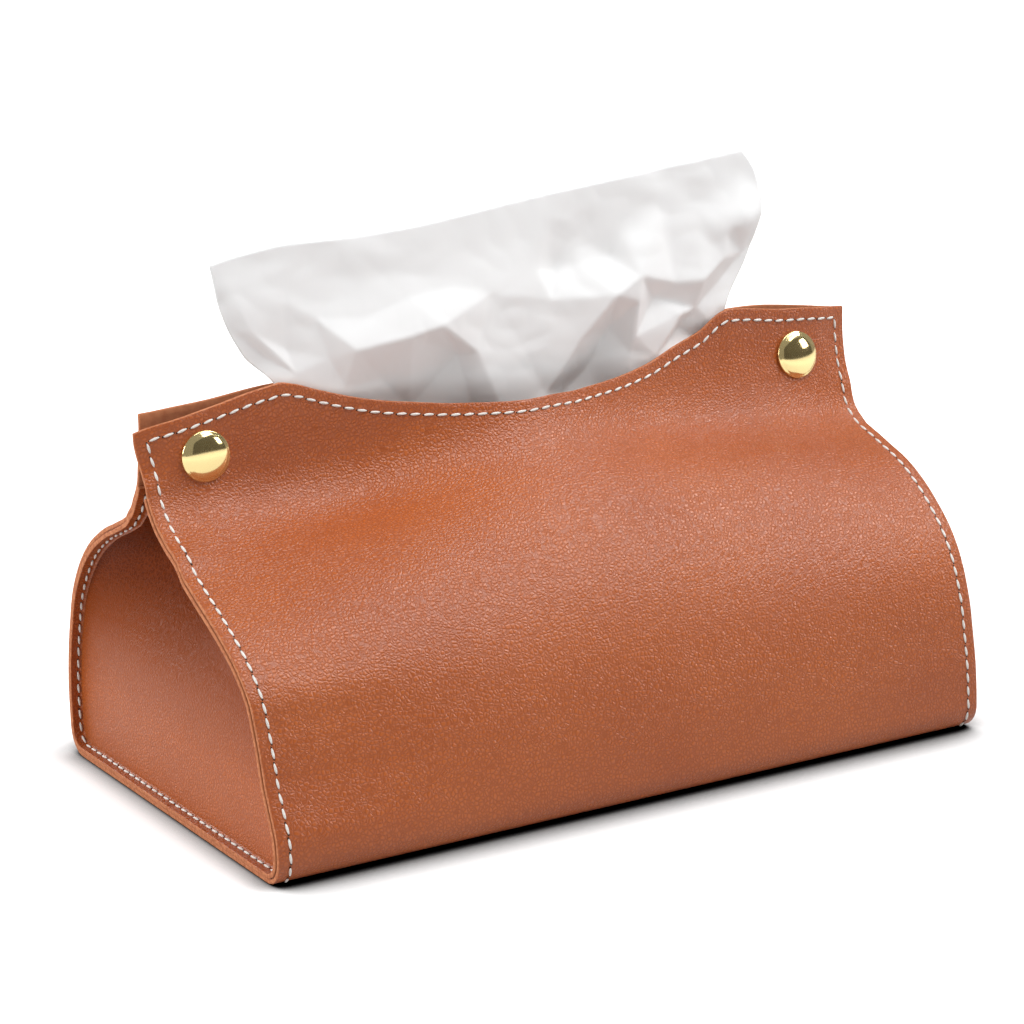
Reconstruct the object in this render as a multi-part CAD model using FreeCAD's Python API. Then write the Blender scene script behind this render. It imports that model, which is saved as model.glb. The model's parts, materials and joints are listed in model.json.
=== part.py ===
import FreeCAD, Part
import math
import os

from FreeCAD import Vector

# Leather tissue cover. X runs along its length, the front faces -Y, +Z is up, and the
# origin is the middle of the face that it rests on. Millimetres.

# ---- leather ---------------------------------------------------------------------------
LEATHER = 1.4              # thickness of one ply
LENGTH = 240.0             # wrap, end edge to end edge, at the bottom
EDGE_FLARE = 3.0           # how far each end edge spreads outwards towards the top corner
FLARE_AT_HALF = 0.75       # share of the flare reached half way up
FOLD_RADIUS = 8.0          # outer radius of the two bottom folds
BULGE_HALF_DEPTH = 73.7    # centre plane to the outer face where the sides bulge most
BEND_HEIGHT = 44.0         # height of the line where a side bends when the cover opens
BEND_HALF_DEPTH = 67.4     # centre plane to the outer face at that line
SHOULDER_SHARE = 3.1       # size of the outward curve above it against the hollow one
PEAK_HEIGHT = 125.2        # the point where the straight top edge meets the scoop
CORNER_DROP = 5.7          # from there down to the top corners
CORNER_HEIGHT = PEAK_HEIGHT - CORNER_DROP
PEAK_X = 75.0              # distance of that point from the middle
PEAK_RADIUS = 7.0
SCOOP_HEIGHT = 110.0       # top edge at the middle
PLY_GAP = 4.0              # between the two inner faces where the snaps hold them
NECK_HEIGHT = 100.0        # height where the pinched sides have become parallel
SCOOP_SHAPE = ((0.86, 0.64), (0.6, 0.29), (0.3, 0.13), (0.0, 0.0))  # shares of x and rise
MOUTH_HALF_DEPTH = 11.0    # centre plane to the outer face at the middle of the scoop
MOUTH_HEIGHT = 112.0       # height at which the middle reaches that depth
MOUTH_LEAN = 3.0           # how much nearer the middle comes, above that height
PINCH_X = 72.0             # the sides are fully pinched from here to the ends
BEND_GAP = 0.3             # between wrap bottom and flap at the bend line

# ---- gussets ---------------------------------------------------------------------------
FLANGE_DEPTH = 5.5         # how far the end panel stands back from the end edges
SEAM_GAP = 0.3             # between a flange and the wrap that it is sewn to
PLEAT_TOP = 92.0           # height of the gusset's top edge
PLEAT_DEPTH = 40.0         # how far the crease has gone inwards at that height
PLEAT_STEPS = 12           # flat bands of the fold

# ---- snap fasteners --------------------------------------------------------------------
SNAP_INSET = 16.4          # snap axis from the bottom's end edge
SNAP_X = LENGTH / 2 - SNAP_INSET
SNAP_DROP = 11.1           # snap axis below the top corners
SNAP_HEIGHT = CORNER_HEIGHT - SNAP_DROP
CAP_RADIUS = 7.5
CAP_HEIGHT = 3.0
CAP_SHEET = 0.4            # thickness of the pressed brass
CAP_CROWN_RADIUS = 4.2     # its nearly flat middle
RIM_RADIUS = 0.65          # its rounded rim
POST_DISC_RADIUS = 6.5
POST_DISC = 0.5
DISC_CLEARANCE = 0.15
BARREL_RADIUS = 2.0
BARREL_BORE = 1.5
BARREL_CLEARANCE = 0.1
FLARE_RADIUS = 2.9         # barrel end, rolled over the socket
FLARE = 0.3
WASHER = 0.5               # base plate of socket and stud
SOCKET_RADIUS = 6.0
SOCKET_CAVITY = 4.9
SOCKET_LIP = 4.6
LIP_THICKNESS = 0.3
LIP_TO_STUD = 0.4          # between the socket's lip and the stud's base plate
STUD_RADIUS = 5.5
STUD_WAIST = 2.6
STUD_HEAD = 2.9
STUD_TIP = 1.7
STUD_HEIGHT = 2.2          # head above its base plate
STUD_NOSE = 0.8            # taper from the widest place to the tip
STUD_BORE = 2.2
SPRING_BORE = 2.75
SPRING_THICKNESS = 0.4
SPRING_PLAY = 0.05
SPRING_SLITS = 4
SLIT_SHARE = 0.6           # of the ring's width
EYELET_RADIUS = 4.8
EYELET_CROWN_RADIUS = 3.6
EYELET_HEIGHT = 0.9
EYELET_FLARE = 2.15

# ---- tissues ---------------------------------------------------------------------------
PACK_LENGTH = 188.0
PACK_DEPTH = 100.0
PACK_HEIGHT = 52.0         # at its long edges
PACK_CROWN = 3.0           # extra height along the middle
PACK_CORNER = 4.0
SHEET_THICKNESS = 1.0
SHEET_CLEARANCE = 0.3      # above the pack
SHEET_TAIL_HALF_WIDTH = 66.0
SHEET_LEFT = 97.0          # reach of the free part to the left and right
SHEET_LEFT_BELLY = 92.0    # on the left it still widens above its belly
SHEET_RIGHT = 91.0
SHEET_RIGHT_CORNER = 84.0
SHEET_BELLY_RISE = 20.2    # of the widest place above the peaks of the cover
SHEET_AT_RIM = 0.84        # its width between the peaks against the belly's
SHEET_LEFT_RISE = 34.8     # its top corners above the peaks of the cover
SHEET_RIGHT_RISE = 50.8
SHEET_LEFT_HEIGHT = PEAK_HEIGHT + SHEET_LEFT_RISE
SHEET_RIGHT_HEIGHT = PEAK_HEIGHT + SHEET_RIGHT_RISE
WAVE_WIDTH = 24.0          # of one crumple of the tissue in the mouth
WAVE_ANGLE = 24.0          # steepest turn of the crumples, degrees
WAVES = 3

FRONT = -1
BACK = 1
BOW_STATIONS = 4           # sections from the middle of the bow to where the pinch begins
SHOULDER_CHORDS = 9
NECK_CHORDS = 8


# ---- curves of the sides, in a plane x = constant --------------------------------------
def line(a, b):
    return Part.LineSegment(a, b).toShape()


def side_point(side, depth, height, x=0.0):
    return Vector(x, side * depth, height)


class Bend:
    """An arc that leaves a point in a given direction and ends at another point."""

    def __init__(self, start, direction, end):
        chord = end - start
        along = Vector(direction).normalize()
        across = chord - along * chord.dot(along)
        radius = chord.Length ** 2 / (2 * across.Length)
        self.centre = start + across.normalize() * radius
        self.start, self.end = start, end
        halfway = (start + end) * 0.5 - self.centre
        self.middle = self.centre + halfway.normalize() * radius
        self.direction = chord * (2 * chord.dot(along) / chord.Length ** 2) - along

    def inset(self, distance, side):
        """The concentric arc that lies nearer the centre plane by a distance."""
        copy = Bend.__new__(Bend)
        copy.centre = self.centre
        outward = (self.middle - self.centre).y * side > 0
        radius = (self.start - self.centre).Length
        scale = 1 - distance / radius if outward else 1 + distance / radius
        for name in ("start", "middle", "end"):
            setattr(copy, name, self.centre + (getattr(self, name) - self.centre) * scale)
        copy.direction = self.direction
        return copy

    def edge(self):
        return Part.Arc(self.start, self.middle, self.end).toShape()

    def points(self, chords):
        """Evenly spaced points along the arc, both ends included."""
        radius = (self.start - self.centre).Length
        along = (self.start - self.centre).normalize()
        sweep = 2 * math.asin((self.end - self.start).Length / (2 * radius))
        across = self.end - self.centre
        across = (across - along * across.dot(along)).normalize()
        turns = [sweep * i / chords for i in range(chords + 1)]
        return [self.centre + (along * math.cos(t) + across * math.sin(t)) * radius
                for t in turns]

    def depth_at(self, height):
        """Distance from the centre plane where the arc passes a height."""
        radius = (self.start - self.centre).Length
        across = math.sqrt(radius ** 2 - (height - self.centre.z) ** 2)
        if abs(self.middle.y) < abs(self.centre.y):
            across = -across
        return abs(self.centre.y) + across


def wall_bend(side):
    """Outer face of the low wall, from the bottom fold up to the bend line."""
    return Bend(side_point(side, BULGE_HALF_DEPTH, FOLD_RADIUS), Vector(0, 0, 1),
                side_point(side, BEND_HALF_DEPTH, BEND_HEIGHT))


def side_bends(side, x, neck_depth, neck_height, top_depth):
    """Outer face of a flap: the shoulder's arc, the neck's arc, then a straight run up."""
    start = side_point(side, BEND_HALF_DEPTH, BEND_HEIGHT, x)
    neck = side_point(side, neck_depth, neck_height, x)
    top = side_point(side, top_depth, PEAK_HEIGHT + 2 * LEATHER, x)
    first = wall_bend(side).direction.normalize()
    last = (top - neck).normalize()
    across = neck - start
    share = SHOULDER_SHARE
    a = 2 * share * (first.dot(last) - 1)
    b = -2 * (share * across.dot(first) + across.dot(last))
    c = across.Length ** 2
    reach = 2 * c / (-b + math.sqrt(b * b - 4 * a * c))
    joint = ((start + first * share * reach) + (neck - last * reach) * share) * (1 / (1 + share))
    shoulder = Bend(start, first, joint)
    return shoulder, Bend(joint, shoulder.direction, neck), top


def pinched_neck():
    return PLY_GAP / 2 + LEATHER


def side_at(side, x):
    """Side at a station: pinched towards the ends, bowed open by the mouth."""
    closed = pinched_neck()
    share = 0.5 + 0.5 * math.cos(math.pi * min(1.0, abs(x) / PINCH_X))
    neck_depth = closed + share * (MOUTH_HALF_DEPTH - closed)
    neck_height = NECK_HEIGHT + share * (MOUTH_HEIGHT - NECK_HEIGHT)
    top_depth = closed + share * (MOUTH_HALF_DEPTH - MOUTH_LEAN - closed)
    return side_bends(side, x, neck_depth, neck_height, top_depth)


# ---- wrap ------------------------------------------------------------------------------
def wrap_path(side, inset):
    """One half of the wrap's section, inset from the outer face: middle of the bottom,
    round the fold, up the wall and a little past the bend line. Also its last point."""
    radius = FOLD_RADIUS - inset
    centre = side_point(side, BULGE_HALF_DEPTH - FOLD_RADIUS, FOLD_RADIUS)
    low = centre + Vector(0, 0, -radius)
    out = centre + Vector(0, side * radius, 0)
    mid = centre + Vector(0, side * radius, -radius) * math.sqrt(0.5)
    wall = wall_bend(side).inset(inset, side)
    past = wall.end + wall.direction.normalize() * 2 * LEATHER
    edges = [line(Vector(0, 0, inset), low), Part.Arc(low, mid, out).toShape(),
             wall.edge(), line(wall.end, past)]
    return edges, past


def wrap_section(x, outer_inset, inner_inset):
    """Closed U-shaped section between two insets, at a station."""
    ends = {}
    edges = []
    for side in (FRONT, BACK):
        for inset in (outer_inset, inner_inset):
            path, end = wrap_path(side, inset)
            edges += path
            ends[side, inset] = end
        edges.append(line(ends[side, outer_inset], ends[side, inner_inset]))
    wire = Part.Wire(Part.__sortEdges__(edges))
    wire.translate(Vector(x, 0, 0))
    return wire


def make_wrap_bottom():
    section = Part.Face(wrap_section(-LENGTH / 2, 0.0, LEATHER))
    body = section.extrude(Vector(LENGTH, 0, 0))
    above = Part.makeBox(2 * LENGTH, 4 * BULGE_HALF_DEPTH, LENGTH)
    above.translate(Vector(-LENGTH, -2 * BULGE_HALF_DEPTH, BEND_HEIGHT - BEND_GAP / 2))
    return body.cut(above)


# ---- flaps -----------------------------------------------------------------------------
def flap_section(side, x):
    """Closed section of a flap at a station, its two arcs drawn with short chords."""
    shoulder, neck, top = side_at(side, x)
    rows = []
    for inset in (0.0, LEATHER):
        low, high = shoulder.inset(inset, side), neck.inset(inset, side)
        end = top + (high.end - neck.end)
        rows.append(low.points(SHOULDER_CHORDS) + high.points(NECK_CHORDS)[1:] + [end])
    outline = rows[0] + rows[1][::-1]
    return Part.makePolygon(outline + outline[:1])


def flap_outline():
    """Cutting pattern of a flap seen from the front: flared ends, straight shoulders that
    rise to two rounded peaks, and the scoop between them."""
    half = LENGTH / 2
    corner = Vector(half + EDGE_FLARE, 0, CORNER_HEIGHT)
    peak = Vector(PEAK_X, 0, PEAK_HEIGHT)
    along = (corner - peak).normalize()
    scoop = [Vector(x * PEAK_X, 0, SCOOP_HEIGHT + rise * (PEAK_HEIGHT - SCOOP_HEIGHT))
             for x, rise in SCOOP_SHAPE]
    into_scoop = (scoop[0] - peak).normalize()
    shoulder_end = peak + along * PEAK_RADIUS
    scoop_start = peak + into_scoop * PEAK_RADIUS
    bisector = (shoulder_end + scoop_start) * 0.5
    crest = peak + (bisector - peak) * 0.5
    edges = []
    for mirror in (1, -1):
        def at(v):
            return Vector(mirror * v.x, v.y, v.z)
        low = Vector(half, 0, BEND_HEIGHT + BEND_GAP / 2)
        end_edge = Part.BSplineCurve()
        middle = Vector(half + FLARE_AT_HALF * EDGE_FLARE, 0, (BEND_HEIGHT + CORNER_HEIGHT) / 2)
        end_edge.interpolate([at(low), at(middle), at(corner)])
        run = Part.BSplineCurve()
        run.interpolate(Points=[at(p) for p in [scoop_start] + scoop[1:]],
                        InitialTangent=at(into_scoop) * PEAK_X,
                        FinalTangent=at(Vector(-1, 0, 0)) * PEAK_X)
        edges += [line(Vector(0, 0, low.z), at(low)), end_edge.toShape(),
                  line(at(corner), at(shoulder_end)),
                  Part.Arc(at(shoulder_end), at(crest), at(scoop_start)).toShape(),
                  run.toShape()]
    return Part.Wire(Part.__sortEdges__(edges))


def snap_axis_hole(side, sign):
    """Tool that cuts the barrel's hole through one ply."""
    radius = BARREL_RADIUS + BARREL_CLEARANCE
    start = Vector(sign * SNAP_X, 0, SNAP_HEIGHT)
    return Part.makeCylinder(radius, PLY_GAP + LEATHER, start, Vector(0, side, 0))


def make_flap(side):
    """Pinched plain at both ends, bowed between them, then cut to its pattern."""
    reach = LENGTH / 2 + 2 * EDGE_FLARE - PINCH_X
    stations = [PINCH_X * i / BOW_STATIONS for i in range(-BOW_STATIONS, BOW_STATIONS + 1)]
    sheet = Part.makeLoft([flap_section(side, x) for x in stations], True, True)
    for start, run in ((PINCH_X, reach), (-PINCH_X, -reach)):
        sheet = sheet.fuse(Part.Face(flap_section(side, start)).extrude(Vector(run, 0, 0)))
    pattern = Part.Face(flap_outline()).extrude(Vector(0, side * 2 * BULGE_HALF_DEPTH, 0))
    flap = sheet.common(pattern)
    for sign in (-1, 1):
        flap = flap.cut(snap_axis_hole(side, sign))
    return flap.Solids[0]


# ---- gussets ---------------------------------------------------------------------------
def tray_region(x, inset):
    """Face inside the wrap's section, inset from its outer face, up to the bend line."""
    edges = []
    ends = []
    for side in (FRONT, BACK):
        path, end = wrap_path(side, inset)
        edges += path
        ends.append(end)
    edges.append(line(ends[0], ends[1]))
    face = Part.Face(Part.Wire(Part.__sortEdges__(edges)))
    face.translate(Vector(x, 0, 0))
    return face


def upper_flange(side):
    """Flange above the bend line: a strip beside the flap, its width along X."""
    outer = [bend.inset(LEATHER + SEAM_GAP, side) for bend in side_at(side, PINCH_X)[:2]]
    inner = [bend.inset(2 * LEATHER + SEAM_GAP, side) for bend in side_at(side, PINCH_X)[:2]]
    section = Part.Face(Part.Wire([
        outer[0].edge(), outer[1].edge(), line(outer[1].end, inner[1].end),
        inner[1].edge(), inner[0].edge(), line(inner[0].start, outer[0].start)]))
    section.translate(Vector(-LENGTH / 2 - PINCH_X, 0, 0))
    strip = section.extrude(Vector(FLANGE_DEPTH + LEATHER, 0, 0))
    band = Part.makeBox(LENGTH, 4 * BULGE_HALF_DEPTH, PLEAT_TOP - BEND_HEIGHT)
    band.translate(Vector(-LENGTH, -2 * BULGE_HALF_DEPTH, BEND_HEIGHT))
    return strip.common(band)


def flange_middle_at(height):
    """How far the middle of the flange's thickness is from the centre plane."""
    shoulder, neck = [bend.inset(1.5 * LEATHER + SEAM_GAP, FRONT)
                      for bend in side_at(FRONT, PINCH_X)[:2]]
    return (shoulder if height < shoulder.end.z else neck).depth_at(height)


def pleat_section(height):
    """Section of the two legs of the fold at a height, for the left end. They start
    inside the flanges and run inwards to the crease."""
    root = flange_middle_at(height)
    panel = -LENGTH / 2 + FLANGE_DEPTH
    inward = PLEAT_DEPTH * (height - BEND_HEIGHT) / (PLEAT_TOP - BEND_HEIGHT)
    points = [(panel, -root), (panel + inward, 0), (panel, root), (panel + LEATHER, root),
              (panel + inward + LEATHER, LEATHER), (panel + inward + LEATHER, -LEATHER),
              (panel + LEATHER, -root)]
    return [Vector(x, y, height) for x, y in points]


def banded_solid(sections):
    """Solid through a row of like polygons, with two triangles to each side between them.
    The diagonal rises from the low corner that is further from the centre plane."""
    def flat(points):
        return Part.Face(Part.makePolygon(points + points[:1]))

    faces = [flat(sections[0]), flat(sections[-1])]
    for low, high in zip(sections, sections[1:]):
        for i in range(len(low)):
            a, b = low[i - 1], low[i]
            c, d = high[i], high[i - 1]
            if abs(a.y) <= abs(b.y):
                faces += [flat([a, b, c]), flat([a, c, d])]
            else:
                faces += [flat([a, b, d]), flat([b, c, d])]
    return Part.Solid(Part.Shell(faces))


def make_gusset(sign):
    """Recessed end panel with a flange turned outwards, folded inwards above the bend."""
    edge = -LENGTH / 2
    outer_face = LEATHER + SEAM_GAP
    plate = tray_region(edge + FLANGE_DEPTH, outer_face).extrude(Vector(LEATHER, 0, 0))
    rim = tray_region(edge, outer_face).cut(tray_region(edge, outer_face + LEATHER))
    rim = rim.extrude(Vector(FLANGE_DEPTH, 0, 0))
    tray = plate.fuse(rim)
    below = Part.makeBox(LENGTH, 4 * BULGE_HALF_DEPTH, BEND_HEIGHT)
    below.translate(Vector(-LENGTH, -2 * BULGE_HALF_DEPTH, 0))
    tray = tray.common(below)
    heights = [BEND_HEIGHT + (PLEAT_TOP - BEND_HEIGHT) * i / PLEAT_STEPS
               for i in range(PLEAT_STEPS + 1)]
    legs = banded_solid([pleat_section(h) for h in heights])
    gusset = tray.fuse([upper_flange(FRONT), upper_flange(BACK), legs])
    if sign > 0:
        gusset = gusset.mirror(Vector(0, 0, 0), Vector(1, 0, 0))
    return gusset


# ---- snap fasteners, turned about an axis along Y --------------------------------------
def turned(points):
    """Solid of revolution about the Y axis. points are (radius, y)."""
    vectors = [Vector(r, y, 0) for r, y in points]
    face = Part.Face(Part.makePolygon(vectors + vectors[:1]))
    return face.revolve(Vector(0, 0, 0), Vector(0, 1, 0), 360)


def at_snap(shape, sign):
    shape.translate(Vector(sign * SNAP_X, 0, SNAP_HEIGHT))
    return shape


FRONT_FACE = -(PLY_GAP / 2 + LEATHER)
FRONT_INSIDE = -PLY_GAP / 2
BACK_INSIDE = PLY_GAP / 2
BACK_FACE = PLY_GAP / 2 + LEATHER


def make_cap():
    """Pressed brass cap: a nearly flat middle, a domed skirt and a rounded rim. The post's
    disc sits in a pocket in its back."""
    y = FRONT_FACE
    crown = y - CAP_HEIGHT
    pocket = POST_DISC_RADIUS + DISC_CLEARANCE
    floor = y - CAP_SHEET - POST_DISC
    rim = RIM_RADIUS
    slant = rim * math.sqrt(0.5)
    edge = CAP_RADIUS - rim
    return turned([(0, crown), (CAP_CROWN_RADIUS, crown), (edge, y - 2 * rim),
                   (edge + slant, y - rim - slant), (CAP_RADIUS, y - rim),
                   (edge + slant, y), (pocket, y), (pocket, floor), (0, floor)])


def make_post():
    """Tubular rivet: a disc in the cap, a barrel through the leather, its end rolled out."""
    disc = FRONT_FACE - CAP_SHEET
    end = FRONT_INSIDE + WASHER
    return turned([(0, disc - POST_DISC), (POST_DISC_RADIUS, disc - POST_DISC),
                   (POST_DISC_RADIUS, disc), (BARREL_RADIUS, disc), (BARREL_RADIUS, end),
                   (FLARE_RADIUS, end), (FLARE_RADIUS, end + FLARE),
                   (BARREL_BORE, end + FLARE), (BARREL_BORE, disc), (0, disc)])


def lip_plane():
    return BACK_INSIDE - WASHER - LIP_TO_STUD


def spring_plane():
    """Front face of the ring spring, just under the socket's lip."""
    return lip_plane() - LIP_THICKNESS - SPRING_PLAY - SPRING_THICKNESS


def make_socket():
    """Cup that the stud presses into, with a lip that keeps the ring spring in."""
    base = FRONT_INSIDE
    lip = lip_plane()
    hole = BARREL_RADIUS + SPRING_PLAY
    return turned([(hole, base), (SOCKET_RADIUS, base), (SOCKET_RADIUS, lip),
                   (SOCKET_LIP, lip), (SOCKET_LIP, lip - LIP_THICKNESS),
                   (SOCKET_CAVITY, lip - LIP_THICKNESS), (SOCKET_CAVITY, base + WASHER),
                   (hole, base + WASHER)])


def make_spring():
    """Slit ring that grips the stud's waist."""
    front = spring_plane()
    outer = SOCKET_CAVITY - SPRING_PLAY
    ring = turned([(SPRING_BORE, front), (outer, front), (outer, front + SPRING_THICKNESS),
                   (SPRING_BORE, front + SPRING_THICKNESS)])
    slit_length = SLIT_SHARE * (outer - SPRING_BORE)
    for i in range(SPRING_SLITS):
        slit = Part.makeBox(SPRING_BORE + slit_length, 3 * SPRING_THICKNESS, SPRING_THICKNESS)
        slit.translate(Vector(0, front - SPRING_THICKNESS, -SPRING_THICKNESS / 2))
        slit.rotate(Vector(0, 0, 0), Vector(0, 1, 0), 360.0 * i / SPRING_SLITS)
        ring = ring.cut(slit)
    return ring


def make_stud():
    """Hollow nipple on a base plate, waisted behind its head."""
    plate = BACK_INSIDE - WASHER
    tip = plate - STUD_HEIGHT
    wide = tip + STUD_NOSE
    waist = spring_plane() - 2 * SPRING_PLAY
    hole = BARREL_RADIUS + SPRING_PLAY
    return turned([(hole, BACK_INSIDE), (STUD_RADIUS, BACK_INSIDE), (STUD_RADIUS, plate),
                   (STUD_WAIST, plate), (STUD_WAIST, waist), (STUD_HEAD, wide),
                   (STUD_TIP, tip), (0, tip), (0, wide), (STUD_BORE, wide),
                   (STUD_BORE, plate), (hole, plate)])


def make_eyelet():
    """Back rivet: a low head on the back leather, its barrel rolled out inside the stud."""
    face = BACK_FACE
    end = BACK_INSIDE - WASHER - FLARE
    return turned([(BARREL_BORE, end), (EYELET_FLARE, end), (EYELET_FLARE, end + FLARE),
                   (BARREL_RADIUS, end + FLARE), (BARREL_RADIUS, face), (EYELET_RADIUS, face),
                   (EYELET_CROWN_RADIUS, face + EYELET_HEIGHT),
                   (BARREL_BORE, face + EYELET_HEIGHT)])


# ---- tissues ---------------------------------------------------------------------------
def make_pack():
    """Stack of interfolded tissues, slightly crowned, lying on the bottom leather."""
    low = LEATHER
    high = low + PACK_HEIGHT
    half = PACK_DEPTH / 2
    x = -PACK_LENGTH / 2
    a, b = Vector(x, -half, low), Vector(x, half, low)
    c, d = Vector(x, half, high), Vector(x, -half, high)
    crown = Part.Arc(c, Vector(x, 0, high + PACK_CROWN), d).toShape()
    section = Part.Face(Part.Wire([line(a, b), line(b, c), crown, line(d, a)]))
    block = section.extrude(Vector(PACK_LENGTH, 0, 0))
    upright = [e for e in block.Edges if abs(e.tangentAt(e.FirstParameter).z) > 0.99]
    return block.makeFillet(PACK_CORNER, upright)


def sheet_wave(offset, low):
    """The tissue's face, seen from above: straight at both ends, crumpled in the mouth
    by arcs that turn one way and the other. offset moves it sideways, across its face."""
    lift = 0.5 * WAVE_WIDTH * math.tan(math.radians(WAVE_ANGLE / 2))
    half = 0.5 * WAVES * WAVE_WIDTH
    knots = [Vector(-half - WAVE_WIDTH / 2, 0, low)]
    knots += [Vector(-half + WAVE_WIDTH * i, lift, low) for i in range(WAVES + 1)]
    knots.append(Vector(half + WAVE_WIDTH / 2, 0, low))
    direction = Vector(1, 0, 0)
    bends = []
    for start, end in zip(knots, knots[1:]):
        bend = Bend(start, direction, end)
        direction = bend.direction
        bends.append(bend.inset(offset, 1))
    reach = max(SHEET_LEFT, SHEET_RIGHT) + SHEET_THICKNESS
    left = Vector(-reach, bends[0].start.y, low)
    right = Vector(reach, bends[-1].end.y, low)
    edges = [line(left, bends[0].start)] + [bend.edge() for bend in bends]
    edges.append(line(bends[-1].end, right))
    return left, right, edges


def sheet_outline():
    """The tissue seen from the front: a narrow tail down to the pack, then a fan with
    bowed sides up to a slanted top edge."""
    start = LEATHER + PACK_HEIGHT + PACK_CROWN + SHEET_CLEARANCE
    tail = SHEET_TAIL_HALF_WIDTH
    top_left = Vector(-SHEET_LEFT, 0, SHEET_LEFT_HEIGHT)
    top_right = Vector(SHEET_RIGHT_CORNER, 0, SHEET_RIGHT_HEIGHT)
    belly_height = PEAK_HEIGHT + SHEET_BELLY_RISE
    edges = [line(Vector(-tail, 0, start), Vector(tail, 0, start)), line(top_right, top_left)]
    for sign, wide, top in ((-1, SHEET_LEFT_BELLY, top_left), (1, SHEET_RIGHT, top_right)):
        low = Vector(sign * tail, 0, start)
        mouth = Vector(sign * tail, 0, SCOOP_HEIGHT)
        belly = Vector(sign * wide, 0, belly_height)
        rim = Vector(sign * SHEET_AT_RIM * wide, 0, PEAK_HEIGHT)
        side = Part.BSplineCurve()
        side.interpolate([mouth, rim, belly, top])
        edges += [line(low, mouth), side.toShape()]
    return Part.Face(Part.Wire(Part.__sortEdges__(edges)))


def make_sheet():
    """The tissue that stands in the mouth, ready to be pulled up."""
    low = LEATHER + PACK_HEIGHT
    front_left, front_right, front = sheet_wave(SHEET_THICKNESS / 2, low)
    back_left, back_right, back = sheet_wave(-SHEET_THICKNESS / 2, low)
    edges = front + back + [line(front_left, back_left), line(front_right, back_right)]
    strip = Part.Face(Part.Wire(Part.__sortEdges__(edges)))
    strip = strip.extrude(Vector(0, 0, SHEET_RIGHT_HEIGHT - low))
    outline = sheet_outline()
    outline.translate(Vector(0, -WAVE_WIDTH, 0))
    return strip.common(outline.extrude(Vector(0, 2 * WAVE_WIDTH, 0)))


# ---- all parts -------------------------------------------------------------------------
def make_parts():
    parts = {
        "wrap_bottom": make_wrap_bottom(),
        "front_flap": make_flap(FRONT),
        "back_flap": make_flap(BACK),
        "tissue_pack": make_pack(),
        "tissue_sheet": make_sheet(),
    }
    for name, sign in (("left", -1), ("right", 1)):
        parts["gusset_" + name] = make_gusset(sign)
        parts["snap_cap_" + name] = at_snap(make_cap(), sign)
        parts["snap_spring_" + name] = at_snap(make_spring(), sign)
    rivets = {"snap_posts": make_post, "snap_sockets": make_socket,
              "snap_studs": make_stud, "snap_eyelets": make_eyelet}
    for name, make in rivets.items():
        parts[name] = Part.makeCompound([at_snap(make(), sign) for sign in (-1, 1)])
    return parts


os.makedirs("parts", exist_ok=True)
for node, shape in make_parts().items():
    shape.exportStep("parts/" + node + ".step")
    box = shape.BoundBox
    print("%-20s solids %d valid %s volume %9.1f  x %.1f..%.1f y %.1f..%.1f z %.1f..%.1f" % (
        node, len(shape.Solids), shape.isValid(), shape.Volume, box.XMin, box.XMax,
        box.YMin, box.YMax, box.ZMin, box.ZMax))
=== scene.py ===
"""Leather tissue cover: pinched top held by snaps, folded end gussets, a tissue in its mouth."""

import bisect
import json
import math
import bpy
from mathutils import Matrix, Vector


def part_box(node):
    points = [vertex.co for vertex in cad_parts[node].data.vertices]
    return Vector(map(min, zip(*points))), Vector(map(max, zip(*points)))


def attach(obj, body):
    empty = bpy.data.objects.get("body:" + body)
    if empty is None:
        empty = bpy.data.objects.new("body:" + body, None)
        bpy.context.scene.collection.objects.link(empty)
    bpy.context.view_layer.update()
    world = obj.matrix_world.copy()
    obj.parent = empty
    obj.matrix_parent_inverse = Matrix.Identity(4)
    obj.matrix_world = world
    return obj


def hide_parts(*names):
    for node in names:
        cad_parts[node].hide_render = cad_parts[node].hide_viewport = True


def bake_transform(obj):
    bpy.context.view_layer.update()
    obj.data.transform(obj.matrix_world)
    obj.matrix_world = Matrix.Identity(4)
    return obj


bl_info = {
    "name": "Leather Tissue Cover",
    "version": (1, 0, 0),
    "blender": (4, 5, 0),
    "location": "3D View > Sidebar > Tissue Cover",
    "description": "Builds a sewn leather tissue cover with snap fasteners over its frame",
    "category": "Object",
}

import bmesh
import bpy
from bpy.props import FloatProperty, FloatVectorProperty, PointerProperty
from mathutils import Matrix, Vector, noise
from mathutils.bvhtree import BVHTree
from mathutils.geometry import delaunay_2d_cdt

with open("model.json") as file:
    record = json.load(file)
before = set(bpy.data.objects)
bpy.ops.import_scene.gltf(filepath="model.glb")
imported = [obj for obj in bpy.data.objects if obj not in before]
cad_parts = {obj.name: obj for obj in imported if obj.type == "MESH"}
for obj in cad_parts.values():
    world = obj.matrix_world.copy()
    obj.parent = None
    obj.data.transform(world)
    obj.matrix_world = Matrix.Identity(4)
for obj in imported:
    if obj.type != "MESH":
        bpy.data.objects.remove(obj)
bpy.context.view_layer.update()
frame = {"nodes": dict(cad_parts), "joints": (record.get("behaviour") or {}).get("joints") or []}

JOINTS = {joint["name"]: joint for joint in frame["joints"]}
BEND_LINE = Vector((JOINTS["back_bend"]["pos_m"][1], JOINTS["back_bend"]["pos_m"][2]))
HALF_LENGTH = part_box("wrap_bottom")[1][0]
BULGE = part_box("wrap_bottom")[1][1]
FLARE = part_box("front_flap")[1][0] - HALF_LENGTH
CAP_LOW, CAP_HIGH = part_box("snap_cap_right")
SNAP_X = (CAP_LOW[0] + CAP_HIGH[0]) / 2
SNAP_HEIGHT = (CAP_LOW[2] + CAP_HIGH[2]) / 2
SNAP_FACE = -CAP_HIGH[1]
FRONT, BACK = -1, 1
LEFT, RIGHT = -1, 1
SIDE_NAME = {FRONT: "front", BACK: "back"}      # also the names of the bodies that open
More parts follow.
